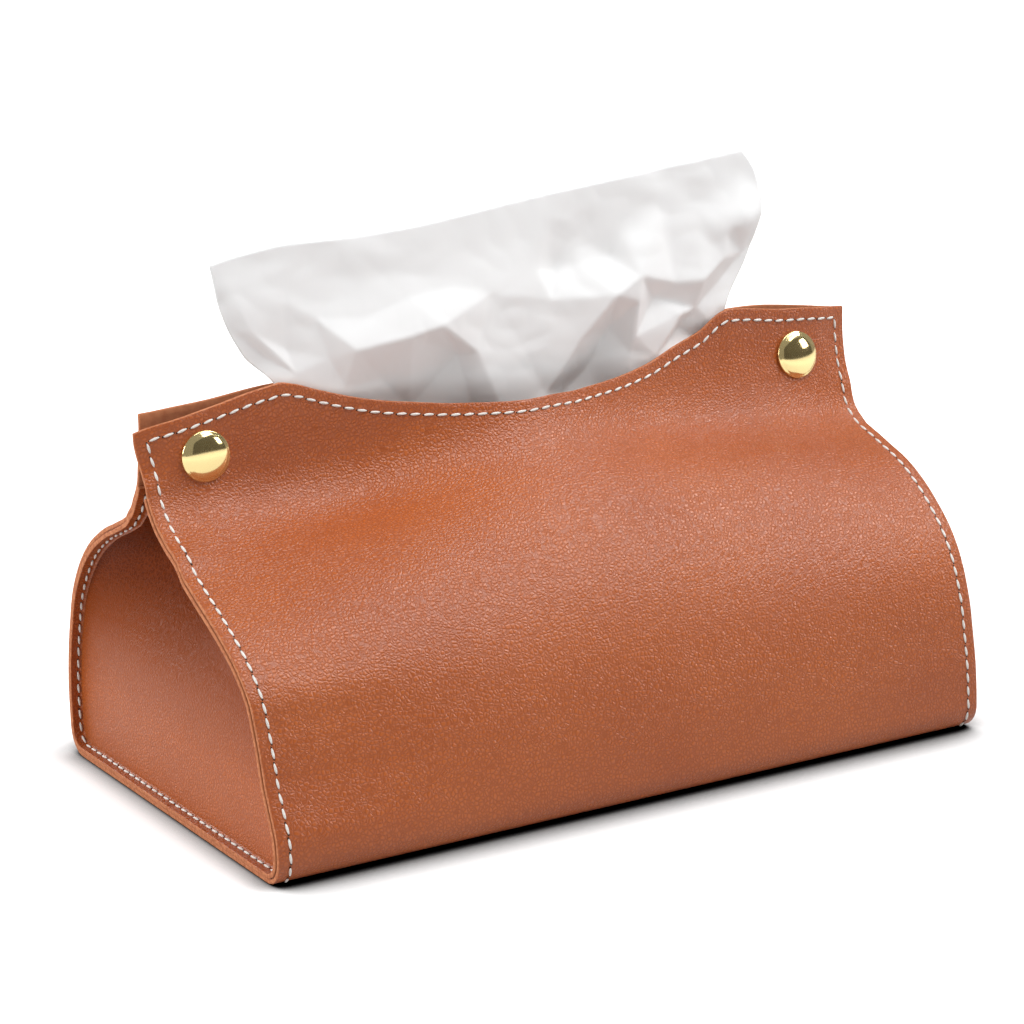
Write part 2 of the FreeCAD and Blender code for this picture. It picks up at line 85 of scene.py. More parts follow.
END_NAME = {LEFT: "left", RIGHT: "right"}
SEAM_STEP = 0.0006        # spacing of the points that a seam is followed through


# ---- sizes and colours that a user would change ------------------------------------------
class CoverShape(bpy.types.PropertyGroup):
    """Sizes of the leather's form"""

    ply: FloatProperty(name="Leather", description="Thickness of one ply",
                       default=0.0014, unit="LENGTH")
    fold_radius: FloatProperty(name="Bottom fold", description="Outer radius of the bottom folds",
                               default=0.008, unit="LENGTH")
    shoulder_share: FloatProperty(
        name="Shoulder share", default=3.1,
        description="Size of the outward curve above the bend against the hollow one")
    corner_height: FloatProperty(name="Corner height", description="Top corners of both sides",
                                 default=0.1195, unit="LENGTH")
    peak_height: FloatProperty(name="Peak height", default=0.1252, unit="LENGTH",
                               description="Where the straight top edge meets the scoop")
    peak_x: FloatProperty(name="Peak place", description="Distance of a peak from the middle",
                          default=0.075, unit="LENGTH")
    scoop_height: FloatProperty(name="Scoop height", description="Top edge at the middle",
                                default=0.110, unit="LENGTH")
    ply_gap: FloatProperty(name="Gap at the snaps", default=0.004, unit="LENGTH",
                           description="Between the two inner faces at the snaps")
    neck_height: FloatProperty(name="Neck height", default=0.100, unit="LENGTH",
                               description="Where the pinched sides have become parallel")
    mouth_half_depth: FloatProperty(name="Mouth half depth", default=0.011, unit="LENGTH",
                                    description="Centre plane to the outer face at the scoop")
    mouth_height: FloatProperty(name="Mouth height", default=0.112, unit="LENGTH",
                                description="Height at which the middle reaches that depth")
    mouth_lean: FloatProperty(name="Mouth lean", default=0.003, unit="LENGTH",
                              description="How much nearer the middle comes above that height")
    pinch_x: FloatProperty(name="Pinch place", default=0.072, unit="LENGTH",
                           description="The sides are fully pinched from here to the ends")
    flange: FloatProperty(name="Flange", default=0.0030, unit="LENGTH",
                          description="How far the end panel stands back from the edges")
    flange_turn: FloatProperty(name="Flange turn", default=0.0006, unit="LENGTH",
                               description="Radius of the turn from flange to panel")
    flange_lip: FloatProperty(name="Flange lip", default=0.0003, unit="LENGTH",
                              description="How far a flange's edge shows past the wrap's edge")
    flange_top: FloatProperty(name="Flange top", description="Height to which flanges reach",
                              default=0.098, unit="LENGTH")
    seam_gap: FloatProperty(name="Seam gap", description="Between the two plies of a seam",
                            default=0.0002, unit="LENGTH")
    pleat_top: FloatProperty(name="Gusset top", description="Height of the gusset's top edge",
                             default=0.092, unit="LENGTH")
    pleat_depth: FloatProperty(name="Gusset fold", default=0.040, unit="LENGTH",
                               description="How far its crease has gone inwards at the top")
    cell: FloatProperty(name="Mesh cell", description="Size of one cell of the leather mesh",
                        default=0.0018, unit="LENGTH")


class StitchSettings(bpy.types.PropertyGroup):
    """Sizes and colour of the sewing"""

    pitch: FloatProperty(name="Pitch", description="From one stitch to the next",
                         default=0.0042, unit="LENGTH")
    length: FloatProperty(name="Stitch length", description="Thread that shows between holes",
                          default=0.0031, unit="LENGTH")
    thread: FloatProperty(name="Thread", description="Radius of the thread",
                          default=0.00042, unit="LENGTH")
    margin: FloatProperty(name="Margin", description="Seam to the edge of the leather",
                          default=0.0036, unit="LENGTH")
    slant: FloatProperty(name="Slant", description="Turn of each stitch against the seam",
                         default=0.10, subtype="ANGLE")
    colour: FloatVectorProperty(name="Thread colour", description="Waxed thread",
                                default=(0.86, 0.84, 0.80), subtype="COLOR")


class CoverLooks(bpy.types.PropertyGroup):
    """Colours of the leather, the metals and the paper"""

    leather: FloatVectorProperty(name="Leather", description="Colour of the grain side",
                                 default=(0.485, 0.115, 0.020), subtype="COLOR")
    leather_dark: FloatVectorProperty(name="Leather shade", description="Darker patches",
                                      default=(0.41, 0.088, 0.014), subtype="COLOR")
    edge: FloatVectorProperty(name="Cut edge", description="Raw edge of the leather",
                              default=(0.60, 0.235, 0.105), subtype="COLOR")
    backing: FloatVectorProperty(name="Backing", description="Inner face of the leather",
                                 default=(0.50, 0.19, 0.085), subtype="COLOR")
    brass: FloatVectorProperty(name="Brass", description="Polished snap caps",
                               default=(0.96, 0.95, 0.54), subtype="COLOR")
    steel: FloatVectorProperty(name="Steel", description="Ring springs in the sockets",
                               default=(0.56, 0.56, 0.57), subtype="COLOR")
    tissue: FloatVectorProperty(name="Tissue", description="Tissue paper",
                                default=(0.90, 0.94, 0.967), subtype="COLOR")


class StageSettings(bpy.types.PropertyGroup):
    """Camera, lamps and floor"""

    yaw: FloatProperty(name="Yaw", description="Camera direction, from +Y towards +X",
                       default=math.radians(29.92), subtype="ANGLE")
    pitch: FloatProperty(name="Pitch", description="Camera direction, below the horizon",
                         default=math.radians(14.04), subtype="ANGLE")
    roll: FloatProperty(name="Roll", description="Camera's turn about its own axis",
                        default=math.radians(-1.81), subtype="ANGLE")
    place: FloatVectorProperty(name="Camera place", description="Where the camera stands",
                               default=(-0.4418, -0.7654, 0.2941), subtype="TRANSLATION")
    lens: FloatProperty(name="Lens", description="Focal length for a 36 mm sensor, in mm",
                        default=104.91)
    key: FloatProperty(name="Key light", description="Power of the key lamp",
                       default=54.0, unit="POWER")
    strip: FloatProperty(name="Strip light", description="Power of the lamp behind the sheen",
                         default=35.0, unit="POWER")
    card: FloatProperty(name="Card", description="Power of the card that only gloss shows",
                        default=22.0, unit="POWER")
    near: FloatProperty(name="Near light", description="Power of the small lamp near the right",
                        default=2.0, unit="POWER")
    fill: FloatProperty(name="Fill light", description="Power of the fill lamp on the left",
                        default=44.0, unit="POWER")
    back: FloatProperty(name="Back light", description="Power of the lamp behind",
                        default=42.0, unit="POWER")
    sky: FloatProperty(name="Sky", description="Strength of the light from all around",
                       default=0.28)
    floor_glow: FloatProperty(name="Floor white", default=0.55,
                              description="White that the floor shows on top of its own shade")


# How far the worn-in leather stands off its plain form towards each end, in millimetres, at
# the heights of SET_HEIGHTS. Each row of SET_LIFTS is for one side and end.
SET_HEIGHTS = (0, 12, 22, 30, 43, 52, 60, 68, 74, 79, 83, 85, 87, 91, 96, 101, 106, 111)
SET_LIFTS = {
    (FRONT, LEFT): (0, 0.2, -2.1, -3.6, -3.5, -2.3, -3.2, -5.0, -6.2, -6.6, -5.6, -2.0, 0.9,
                    1.5, 1.2, 0.3, 0, 0),
    (FRONT, RIGHT): (0, 0, 0.2, 0.4, 1.5, 1.6, 1.3, 0.4, -0.1, -0.6, -1.2, -0.6, 1.2, 1.5, 1.8,
                     1.2, 0.4, 0),
    (BACK, LEFT): (0, 0.2, 0.6, 0.7, 0.8, 0.8, 0.4, 0, -0.4, -0.8, -0.8, 0, 2.9, 3.3, 2.0, 0.5,
                   0, 0),
    (BACK, RIGHT): (0, 0, 0.2, 0.4, 0.8, 0.8, 0.8, 0.4, 0, -0.2, -0.4, 0, 0.8, 1.0, 1.0, 0.5, 0,
                    0),
}
# The same for the last stretch past the snaps, where the two sides close on each other.
TIP_HEIGHTS = (88, 97, 103, 108, 114, 121)
TIP_LIFTS = {
    (FRONT, LEFT): (0, 0.2, 0.5, -1.5, -2.2, -2.2),
    (FRONT, RIGHT): (0, 0.3, -1.2, -1.5, -1.7, -1.6),
    (BACK, LEFT): (0, 0.8, 0.4, -0.4, -0.6, -0.5),
    (BACK, RIGHT): (0, 0.2, -0.8, -1.2, -1.4, -1.4),
}
# How much of the flare towards the top each end edge shows, below its corner and at it.
TIP_FLARES = {(FRONT, LEFT): (0.8, 1.35), (FRONT, RIGHT): (0.8, 0.8),
              (BACK, LEFT): (0.55, 0.3), (BACK, RIGHT): (0.7, 0.7)}
# How far the pinched top has risen or sunk along its length, in millimetres: (x, rise).
TOP_RISES = {
    FRONT: ((-125, -5.9), (-113, -4.0), (-107, -3.7), (-96, -2.9), (-84, -1.3), (-79, -0.7),
            (-76, -0.2), (-72, -0.5), (-64, 0.7), (-54, 0.6), (-38, 0.2), (-24, -0.3), (-8, 0.1),
            (5, 0.4), (17, -0.8), (30, -1.1), (43, -0.3), (57, 1.6), (64, 1.7), (70, 2.0),
            (74.5, 2.9), (80, 2.6), (94, 1.8), (105, 2.4), (125, 3.2)),
    BACK: ((-125, 0.3), (-112, -0.9), (-95, -2.0), (-75, -1.4), (0, 0), (75, 1.8), (94, 2.5),
           (106, 2.5), (125, 2.5)),
}
# How far each snap has gone along X and up with the leather, in millimetres.
SNAP_SHIFTS = {LEFT: (0.0, -2.3), RIGHT: (-2.0, 1.6)}
# Soft swellings of the front in millimetres: (x, z, reach along X, reach in height, height).
SWELLINGS = ((68, 90, 37, 14, 6.0), (-85, 91, 30, 6, -1.8))
# The standing tissue's outline in metres: half the width of its foot, its left and right edges
# above that as (z, x), and its upper edge as (x, z).
TISSUE_FOOT = 0.062
TISSUE_LEFT = ((0.090, -0.066), (0.110, -0.0735), (0.124, -0.0800), (0.1327, -0.0885),
               (0.1466, -0.0950), (0.160, -0.0977))
TISSUE_RIGHT = ((0.090, 0.066), (0.110, 0.0715), (0.1287, 0.0777), (0.1411, 0.0858),
                (0.149, 0.0898), (0.156, 0.0914), (0.1625, 0.0913), (0.1687, 0.0895),
                (0.174, 0.0862), (0.1765, 0.0838))
TISSUE_CREST = ((-0.0977, 0.1598), (-0.0900, 0.1614), (-0.0725, 0.1634), (-0.0577, 0.1633),
                (0.0196, 0.1704), (0.0838, 0.1764))
# Corners of the crumpled tissue's facets in millimetres: (x, z, depth towards the front). Each
# line of CREASES is a run of sharp folds from corner to corner.
CREASES = (
    ((-55, 131, 6.5), (-37, 133, 7.0), (-27, 135, 7.5), (-14, 125, 4.5), (-8, 112, 4.0)),
    ((-55, 131, 6.5), (-44, 120, 0.5), (-34, 110, -3.0)),
    ((-27, 135, 7.5), (-19, 125, 1.0), (-14, 108, 0.0)),
    ((10, 109, 3.0), (22, 125, 5.5), (34, 137, 7.5), (42, 134, 6.5), (42, 123, 4.0)),
    ((34, 137, 7.5), (36, 126, -2.0), (29, 114, -4.5), (19, 107, -4.0)),
    ((43, 142, 7.0), (57, 138, 4.0), (67, 138, 5.0), (76, 144, 3.5), (76, 153, 4.0),
     (84, 155, 5.0)),
    ((43, 142, 7.0), (50, 134, 1.5), (66, 129, 1.0), (85, 144, -1.0), (91, 147, -2.0)),
    ((59, 128, 3.5), (61, 123, -2.0), (50, 116, 3.0), (41, 118, 2.0)),
    ((-92, 150, 0.9), (-86, 139, 1.2), (-73, 126, 1.8), (-64, 113, 1.5)),
    ((-82, 132, -0.4), (-92, 141, -0.3), (-97, 157, 0.0)),
    ((-75, 133, 0.6), (-62, 129, 2.6), (-57, 120, 2.0)),
    ((-55, 152, 0.6), (-50, 151, 1.3), (-35, 151, 1.8)),
    ((15, 146, 0.8), (23, 148, 2.0), (35, 148, 1.2), (39, 156, 1.5), (54, 162, 1.0)),
    ((12, 162, 1.5), (22, 156, 0.6)),
    ((-71, 161, 0.4), (-57, 162, 0.9), (-34, 157, 1.6), (-10, 155, 1.2), (-22, 149, 2.2)),
    ((-10, 155, 1.2), (-8, 142, 3.6), (3, 123, 4.0)),
    ((-75, 147, 1.1), (-66, 141, 1.9), (-50, 140, 3.4), (-36, 144, 3.3), (-20, 146, 2.7)),
    ((-100, 166, 0.0), (-74, 171, 0.5), (-48, 170, 0.2), (-20, 175, 0.6), (6, 173, 0.3)),
    ((6, 173, 0.3), (28, 178, 0.8), (52, 176, 0.2), (74, 181, 0.7), (92, 180, 0.1)),
    ((20, 158, 1.6), (33, 165, 1.1), (46, 172, 1.4), (57, 168, 0.5), (70, 170, 1.2)),
    ((54, 162, 1.0), (66, 156, 1.9), (72, 163, 1.1), (84, 168, 0.7), (95, 160, 0.0)),
    ((12, 138, 4.4), (8, 148, 2.6), (4, 158, 1.1)),
    ((-104, 150, 0.0), (-108, 130, 0.0), (-100, 100, 0.0)),
    ((104, 150, 0.0), (104, 128, 0.0), (96, 100, 0.0)),
    ((-130, 10, 0.0), (130, 10, 0.0), (130, 210, 0.0), (-130, 210, 0.0)),
    ((-40, 90, 2.0), (-20, 92, -2.0), (0, 90, 2.0), (20, 92, -2.0), (40, 90, 2.0)),
)


# ---- curves ------------------------------------------------------------------------------
def arc_points(start, heading, end, count):
    """Points of the arc that leaves start along heading and ends at end, and where it then
    heads. Start itself is left out."""
    chord = end - start
    across = chord - heading * chord.dot(heading)
    radius = chord.length_squared / (2 * across.length)
    centre = start + across.normalized() * radius
    spoke = start - centre
    sweep = 2 * math.asin(min(1.0, chord.length / (2 * radius)))
    turns = [sweep * (i + 1) / count for i in range(count)]
    points = [centre + spoke * math.cos(t) + heading * (radius * math.sin(t)) for t in turns]
    return points, heading * math.cos(sweep) - spoke.normalized() * math.sin(sweep)


def smooth_through(knots, x):
    """Smooth curve through (x, value) knots, which doesn't overshoot them."""
    xs = [knot[0] for knot in knots]
    if x <= xs[0]:
        return knots[0][1]
    if x >= xs[-1]:
        return knots[-1][1]
    slopes = [(b[1] - a[1]) / (b[0] - a[0]) for a, b in zip(knots, knots[1:])]

    def tangent(i):
        if i == 0 or i == len(knots) - 1:
            return slopes[min(i, len(slopes) - 1)]
        before, after = slopes[i - 1], slopes[i]
        if before * after <= 0:
            return 0.0
        return 2 * before * after / (before + after)

    i = bisect.bisect_right(xs, x) - 1
    gap = xs[i + 1] - xs[i]
    t = (x - xs[i]) / gap
    rise = 3 * t * t - 2 * t ** 3
    return (knots[i][1] * (1 - rise) + knots[i + 1][1] * rise
            + gap * (tangent(i) * t * (1 - t) ** 2 - tangent(i + 1) * t * t * (1 - t)))


def smooth_step(low, high, value):
    """Rises softly from 0 at low to 1 at high."""
    t = min(1.0, max(0.0, (value - low) / (high - low)))
    return t * t * (3 - 2 * t)


def soft_ramp(value, ease):
    """The value above zero and nothing below it, eased over a length about zero."""
    return 0.5 * (value + math.sqrt(value * value + ease * ease))


class Profile:
    """One side of the wrap at a station: its outer face from the middle of the bottom out,
    up the wall and over the shoulder to the top, as (depth, height) by distance along it."""

    def __init__(self, shape, x):
        share = 0.5 + 0.5 * math.cos(math.pi * min(1.0, abs(x) / shape.pinch_x))
        closed = shape.ply_gap / 2 + shape.ply
        mouth = shape.mouth_half_depth
        neck = Vector((closed + share * (mouth - closed),
                       shape.neck_height + share * (shape.mouth_height - shape.neck_height)))
        top = Vector((closed + share * (mouth - shape.mouth_lean - closed),
                      shape.peak_height + 2 * shape.ply))
        low = Vector((BULGE - shape.fold_radius, 0.0))
        out = Vector((BULGE, shape.fold_radius))
        points = [Vector((0.0, 0.0)), low]
        fold_steps, wall_steps, top_steps = 16, 24, 40
        points += arc_points(low, Vector((1.0, 0.0)), out, fold_steps)[0]
        wall, heading = arc_points(out, Vector((0.0, 1.0)), BEND_LINE, wall_steps)
        points += wall
        joint = self.curve_change(BEND_LINE, heading, neck, (top - neck).normalized(),
                                  shape.shoulder_share)
        shoulder, heading = arc_points(BEND_LINE, heading, joint, top_steps)
        hollow, _ = arc_points(joint, heading, neck, top_steps)
        self.points = points + shoulder + hollow + [top]
        self.reach = [0.0]
        for a, b in zip(self.points, self.points[1:]):
            self.reach.append(self.reach[-1] + (b - a).length)

    @staticmethod
    def curve_change(start, heading, end, arrival, share):
        """Where the arc that leaves start meets the arc that arrives at end."""
        across = end - start
        a = 2 * share * (heading.dot(arrival) - 1)
        b = -2 * (share * across.dot(heading) + across.dot(arrival))
        c = across.length_squared
        length = 2 * c / (-b + math.sqrt(b * b - 4 * a * c))
        leaving, arriving = start + heading * share * length, end - arrival * length
        return (leaving + arriving * share) / (1 + share)

    def at(self, distance):
        """The point at a distance along the profile, and the outward normal there."""
        i = min(max(bisect.bisect_right(self.reach, distance) - 1, 0), len(self.points) - 2)
        a, b = self.points[i], self.points[i + 1]
        along = (b - a) / (self.reach[i + 1] - self.reach[i])
        return a + along * (distance - self.reach[i]), Vector((along.y, -along.x))

    def distance_to(self, height):
        """The distance at which the profile, above its bottom fold, passes a height."""
        for i in range(2, len(self.points)):
            low, high = self.points[i - 1], self.points[i]
            if high.y >= height:
                share = (height - low.y) / (high.y - low.y)
                return self.reach[i - 1] + share * (self.reach[i] - self.reach[i - 1])
        return self.reach[-1]


class Wrap:
    """The wrap's outer face, by its station along X and the distance along its profile."""

    def __init__(self, shape):
        self.shape = shape
        self.profiles = {}
        rise = shape.peak_height - shape.scoop_height
        scoop = ((0.3, 0.13), (0.6, 0.29), (0.86, 0.64), (0.96, 0.90))
        right = [(x * shape.peak_x, shape.scoop_height + z * rise) for x, z in scoop]
        rounded_off = 0.0008
        right += [(1.03 * shape.peak_x, shape.peak_height - rounded_off),
                  (HALF_LENGTH + FLARE, shape.corner_height)]
        left = [(-x, z) for x, z in reversed(right)]
        self.top_knots = left + [(0.0, shape.scoop_height)] + right

    def profile(self, x):
        """The profile at a station. It is the same from the pinch to the ends."""
        key = round(min(abs(x), self.shape.pinch_x), 5)
        if key not in self.profiles:
            self.profiles[key] = Profile(self.shape, key)
        return self.profiles[key]

    def top(self, x):
        """Height of the top edge at a station."""
        return smooth_through(self.top_knots, x)

    def top_distance(self, x):
        """Distance along the profile to the top edge."""
        return self.profile(x).distance_to(self.top(x))

    def flared(self, height):
        """How far the end edge has spread outwards at a height."""
        low = BEND_LINE.y
        share = max(0.0, (height - low) / (self.shape.corner_height - low))
        return FLARE * (1 - (1 - min(1.0, share)) ** 1.8)

    def unevenness(self, side, x, distance):
        """The hand-made part of the surface: slight hollows and swellings."""
        place = Vector((x * 14 + side * 7.3, distance * 11, 2.0))
        calm = smooth_step(0.0, 0.05, distance - 0.066)
        ends = 1 - smooth_step(0.6, 1.0, abs(x) / HALF_LENGTH)
        return 0.0009 * calm * ends * noise.noise(place)

    def worn_in(self, side, x, height):
        """How far the leather has come off its plain form, most of all near the ends."""
        end = RIGHT if x > 0 else LEFT
        share = abs(x) / HALF_LENGTH
        lift = smooth_step(0.38, 0.97, share) * self.from_rows(
            SET_HEIGHTS, SET_LIFTS[side, end], height)
        if side == FRONT:
            for x_mid, z_mid, x_reach, z_reach, swelling in SWELLINGS:
                along, up = (1000 * x - x_mid) / x_reach, (1000 * height - z_mid) / z_reach
                lift += 0.001 * swelling * math.exp(-along * along - up * up)
        return lift + smooth_step(0.90, 1.0, share) * self.from_rows(
            TIP_HEIGHTS, TIP_LIFTS[side, end], height)

    @staticmethod
    def from_rows(places, values, place):
        """Smooth value at a place, in metres, from two rows in millimetres."""
        knots = [(a / 1000, b / 1000) for a, b in zip(places, values)]
        return smooth_through(knots, place)

    def risen(self, side, x, height):
        """How far the pinched top has risen there."""
        places, rises = zip(*TOP_RISES[side])
        return smooth_step(0.090, 0.108, height) * self.from_rows(places, rises, x)

    def point(self, side, x, distance, lift=0.0):
        """A point of the outer face, or lifted off it along its normal. Between the ends the
        leather runs more softly over the shoulder and through the hollow above it."""
        height = self.profile(x).at(distance)[0].y
        longest, least = 0.010, 0.0002
        reach = (longest * smooth_step(0.064, 0.082, height)
                 * (1 - smooth_step(0.84, 1.0, abs(x) / HALF_LENGTH)))
        if reach < least:
            return self.crisp_point(side, x, distance, lift)
        spots = [self.crisp_point(side, x, distance + reach * step, lift)
                 for step in (-1.0, -0.5, 0.0, 0.5, 1.0)]
        return sum(spots, Vector((0.0, 0.0, 0.0))) / len(spots)

    def crisp_point(self, side, x, distance, lift):
        """A point of the outer face, or lifted off it, before it is softened."""
        place, normal = self.profile(x).at(distance)
        lift += self.unevenness(side, x, distance) + self.worn_in(side, x, place.y)
        depth = place.x + normal.x * lift
        height = place.y + normal.y * lift + self.risen(side, x, place.y)
        below, corner = TIP_FLARES[side, RIGHT if x > 0 else LEFT]
        flare = self.flared(place.y) * (
            below + (corner - below) * smooth_step(0.106, 0.118, place.y))
        return Vector((x * (1 + flare / HALF_LENGTH), side * depth, height))


# ---- mesh helpers ------------------------------------------------------------------------
def grid_mesh(across, up):
    """A flat grid with a UV map, corners at (0, 0) and (1, 1)."""
    mesh = bmesh.new()
    mesh.loops.layers.uv.new("UVMap")
    bmesh.ops.create_grid(mesh, x_segments=across, y_segments=up, size=0.5, calc_uvs=True,
                          matrix=Matrix.Translation((0.5, 0.5, 0.0)))
    return mesh


def place_grid(mesh, place, flat):
    """Moves a unit grid's points to place(u, v), and its UV map to flat(u, v) in metres."""
    layer = mesh.loops.layers.uv.active
    squares = {vert.index: (vert.co.x, vert.co.y) for vert in mesh.verts}
    for face in mesh.faces:
        for loop in face.loops:
            loop[layer].uv = flat(*squares[loop.vert.index])
    for vert in mesh.verts:
        vert.co = place(*squares[vert.index])


def face_outwards(mesh, outward):
    """Turns an open sheet over if its faces, taken together, point inwards."""
    mesh.normal_update()
    if sum(outward(face) for face in mesh.faces) < 0:
        bmesh.ops.reverse_faces(mesh, faces=mesh.faces)


def face_end(mesh, end):
    """The grain side of a gusset shows from outside the end."""
    face_outwards(mesh, lambda face: face.normal.x * end)


def add_piece(name, mesh, materials):
    """Makes a shaded object of a bmesh, with its materials."""
    data = bpy.data.meshes.new(name)
    mesh.normal_update()
    mesh.to_mesh(data)
    mesh.free()
    for polygon in data.polygons:
        polygon.use_smooth = True
    for material in materials:
        data.materials.append(material)
    piece = bpy.data.objects.new(name, data)
    bpy.context.scene.collection.objects.link(piece)
    return piece


def sharp_past(piece, degrees):
    """Shades a piece as sharp where it turns by more than an angle."""
    crisp = piece.modifiers.new("Crisp", "EDGE_SPLIT")
    crisp.split_angle = math.radians(degrees)


def give_thickness(piece, ply, rounded=True):
    """Solid leather: thickness inwards, a cut edge of its own material, and softened corners
    where they show."""
    shell = piece.modifiers.new("Ply", "SOLIDIFY")
    shell.thickness = ply
    shell.offset = -1.0
    shell.use_even_offset = True
    shell.material_offset = 2
    shell.material_offset_rim = 1
    if not rounded:
        return
    rounding = piece.modifiers.new("Edge", "BEVEL")
    rounding.width = 0.22 * ply
    rounding.segments = 2
    rounding.limit_method = "ANGLE"
    rounding.angle_limit = math.radians(50)
    rounding.harden_normals = False


def bend_with(piece):
    """Bakes the piece's placement into its mesh."""
    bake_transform(piece)


# ---- materials ---------------------------------------------------------------------------
class Nodes:
    """Short calls for a material's nodes."""

    def __init__(self, name):
        self.material = bpy.data.materials.new(name)
        self.material.use_nodes = True
        self.tree = self.material.node_tree
        self.shader = self.tree.nodes["Principled BSDF"]

    def add(self, kind, **values):
        """A node with its settings, or the values of its inputs."""
        node = self.tree.nodes.new(kind)
        for key, value in values.items():
            if hasattr(node, key):
                setattr(node, key, value)
            else:
                node.inputs[key].default_value = value
        return node

    def link(self, source, target):
        self.tree.links.new(source, target)

    def coordinates(self, kind):
        return self.add("ShaderNodeTexCoord").outputs[kind]

    def noise(self, vector, scale, detail=2.0, roughness=0.5):
        node = self.add("ShaderNodeTexNoise", Scale=scale, Detail=detail, Roughness=roughness)
        self.link(vector, node.inputs["Vector"])
        return node.outputs["Fac"]

    def cell_edges(self, vector, scale):
        node = self.add("ShaderNodeTexVoronoi", feature="DISTANCE_TO_EDGE", Scale=scale)
        self.link(vector, node.inputs["Vector"])
        return node.outputs["Distance"]

    def spread(self, value, low, high, to_low=0.0, to_high=1.0, manner="LINEAR"):
        """Carries a value from one range to another."""
        node = self.add("ShaderNodeMapRange", interpolation_type=manner)
        self.link(value, node.inputs["Value"])
        for name, number in (("From Min", low), ("From Max", high),
                             ("To Min", to_low), ("To Max", to_high)):
            node.inputs[name].default_value = number
        return node.outputs["Result"]

    def mix(self, share, first, second):
        """Between two colours, each of them fixed or another node's output."""
        node = self.add("ShaderNodeMix", data_type="RGBA")
        self.link(share, node.inputs[0])
        for socket, colour in ((node.inputs[6], first), (node.inputs[7], second)):
            if isinstance(colour, bpy.types.NodeSocket):
                self.link(colour, socket)
            else:
                socket.default_value = (*colour, 1.0)
        return node.outputs[2]

    def maths(self, operation, first, second):
        node = self.add("ShaderNodeMath", operation=operation)
        for socket, value in zip(node.inputs, (first, second)):
            if isinstance(value, bpy.types.NodeSocket):
                self.link(value, socket)
            else:
                socket.default_value = value
        return node.outputs[0]

    def bump(self, height, distance, strength=1.0, under=None):
        node = self.add("ShaderNodeBump", Distance=distance, Strength=strength)
        self.link(height, node.inputs["Height"])
        if under is not None:
            self.link(under, node.inputs["Normal"])
        return node.outputs["Normal"]

    def finish(self, **sockets):
        """Fills the shader's inputs, each with a colour, a number or another node's output."""
        for name, value in sockets.items():
            socket = self.shader.inputs[name.replace("_", " ")]
            if isinstance(value, bpy.types.NodeSocket):
                self.link(value, socket)
            elif isinstance(value, (tuple, list)):
                socket.default_value = (*value, 1.0)
            else:
                socket.default_value = value
        return self.material


def leather_material(looks, name, folded):
    """Fine pebbled leather with a satin coat, a little darker in soft patches. Where it is folded
    in, painted shade darkens it towards its top, where the flap above would shade the recess, and
    its specular level falls there too."""
    nodes = Nodes(name)
    flat = nodes.coordinates("UV")
    fleck, pit_colour_and_shade, painted_fold_shade = (0.56, 0.16, 0.042), (0.24, 0.046, 0.009), (0.10, 0.016, 0.004)
    patches = nodes.spread(nodes.noise(flat, 18.0, 3.0), 0.35, 0.68)
    flecks = nodes.spread(nodes.noise(flat, 520.0, 2.0), 0.3, 0.7, 0.0, 1.0)
    colour = nodes.mix(patches, tuple(looks.leather), tuple(looks.leather_dark))
    colour = nodes.mix(nodes.maths("MULTIPLY", flecks, 0.16), colour, fleck)
    shine = 0.46
    if folded:
        split = nodes.add("ShaderNodeSeparateXYZ")
        nodes.link(flat, split.inputs[0])
        up = split.outputs["Y"]
        # Painted shade: the colour turns dark towards the top of the folded panel, and the shine
        # fades with it.
        colour = nodes.mix(nodes.spread(up, 0.020, 0.060, 0.0, 0.94), colour, painted_fold_shade)
        shine = nodes.spread(up, 0.010, 0.045, 0.36, 0.05)
    warped = nodes.add("ShaderNodeVectorMath", operation="MULTIPLY_ADD")
    wobble = nodes.add("ShaderNodeTexNoise", Scale=260.0, Detail=1.0)
    nodes.link(flat, wobble.inputs["Vector"])
    nodes.link(wobble.outputs["Color"], warped.inputs[0])
    warped.inputs[1].default_value = (0.0012, 0.0012, 0.0012)
    nodes.link(flat, warped.inputs[2])
    # The grooves between the pebbles are coloured darker: partly the leather's own grain tone,
    # partly painted shade in the grooves.
    pebbles = nodes.spread(nodes.cell_edges(warped.outputs[0], 860.0), 0.0, 0.32)
    pit_tone_and_shade = nodes.maths("MULTIPLY", nodes.maths("SUBTRACT", 1.0, pebbles), 0.55)
    colour = nodes.mix(pit_tone_and_shade, colour, pit_colour_and_shade)
    grain = nodes.bump(pebbles, 0.00011, 1.0)
    grain = nodes.bump(nodes.noise(flat, 60.0, 2.0), 0.0010, 0.15, grain)
    roughness = nodes.spread(pebbles, 0.0, 1.0, 0.39, 0.31)
    return nodes.finish(Base_Color=colour, Roughness=roughness, Normal=grain,
                        Specular_IOR_Level=shine)


def edge_material(looks):
    """Raw cut edge: lighter than the grain side, and fibrous."""
    nodes = Nodes("leather_cut_edge")
    place = nodes.coordinates("Object")
    fibres = nodes.noise(place, 900.0, 3.0)
    colour = nodes.mix(nodes.spread(fibres, 0.3, 0.7), tuple(looks.edge), (0.36, 0.105, 0.04))
    fuzz = nodes.bump(fibres, 0.0003, 0.6)
    return nodes.finish(Base_Color=colour, Roughness=0.82, Normal=fuzz, Specular_IOR_Level=0.3)


def backing_material(looks):
    """Brushed inner face of the leather."""
    nodes = Nodes("leather_backing")
    place = nodes.coordinates("Object")
    nap = nodes.noise(place, 420.0, 4.0)
    colour = nodes.mix(nodes.spread(nap, 0.3, 0.7), tuple(looks.backing), (0.38, 0.13, 0.055))
    fuzz = nodes.bump(nap, 0.0004, 0.5)
    return nodes.finish(Base_Color=colour, Roughness=0.9, Normal=fuzz, Specular_IOR_Level=0.2,
                        Sheen_Weight=0.15)


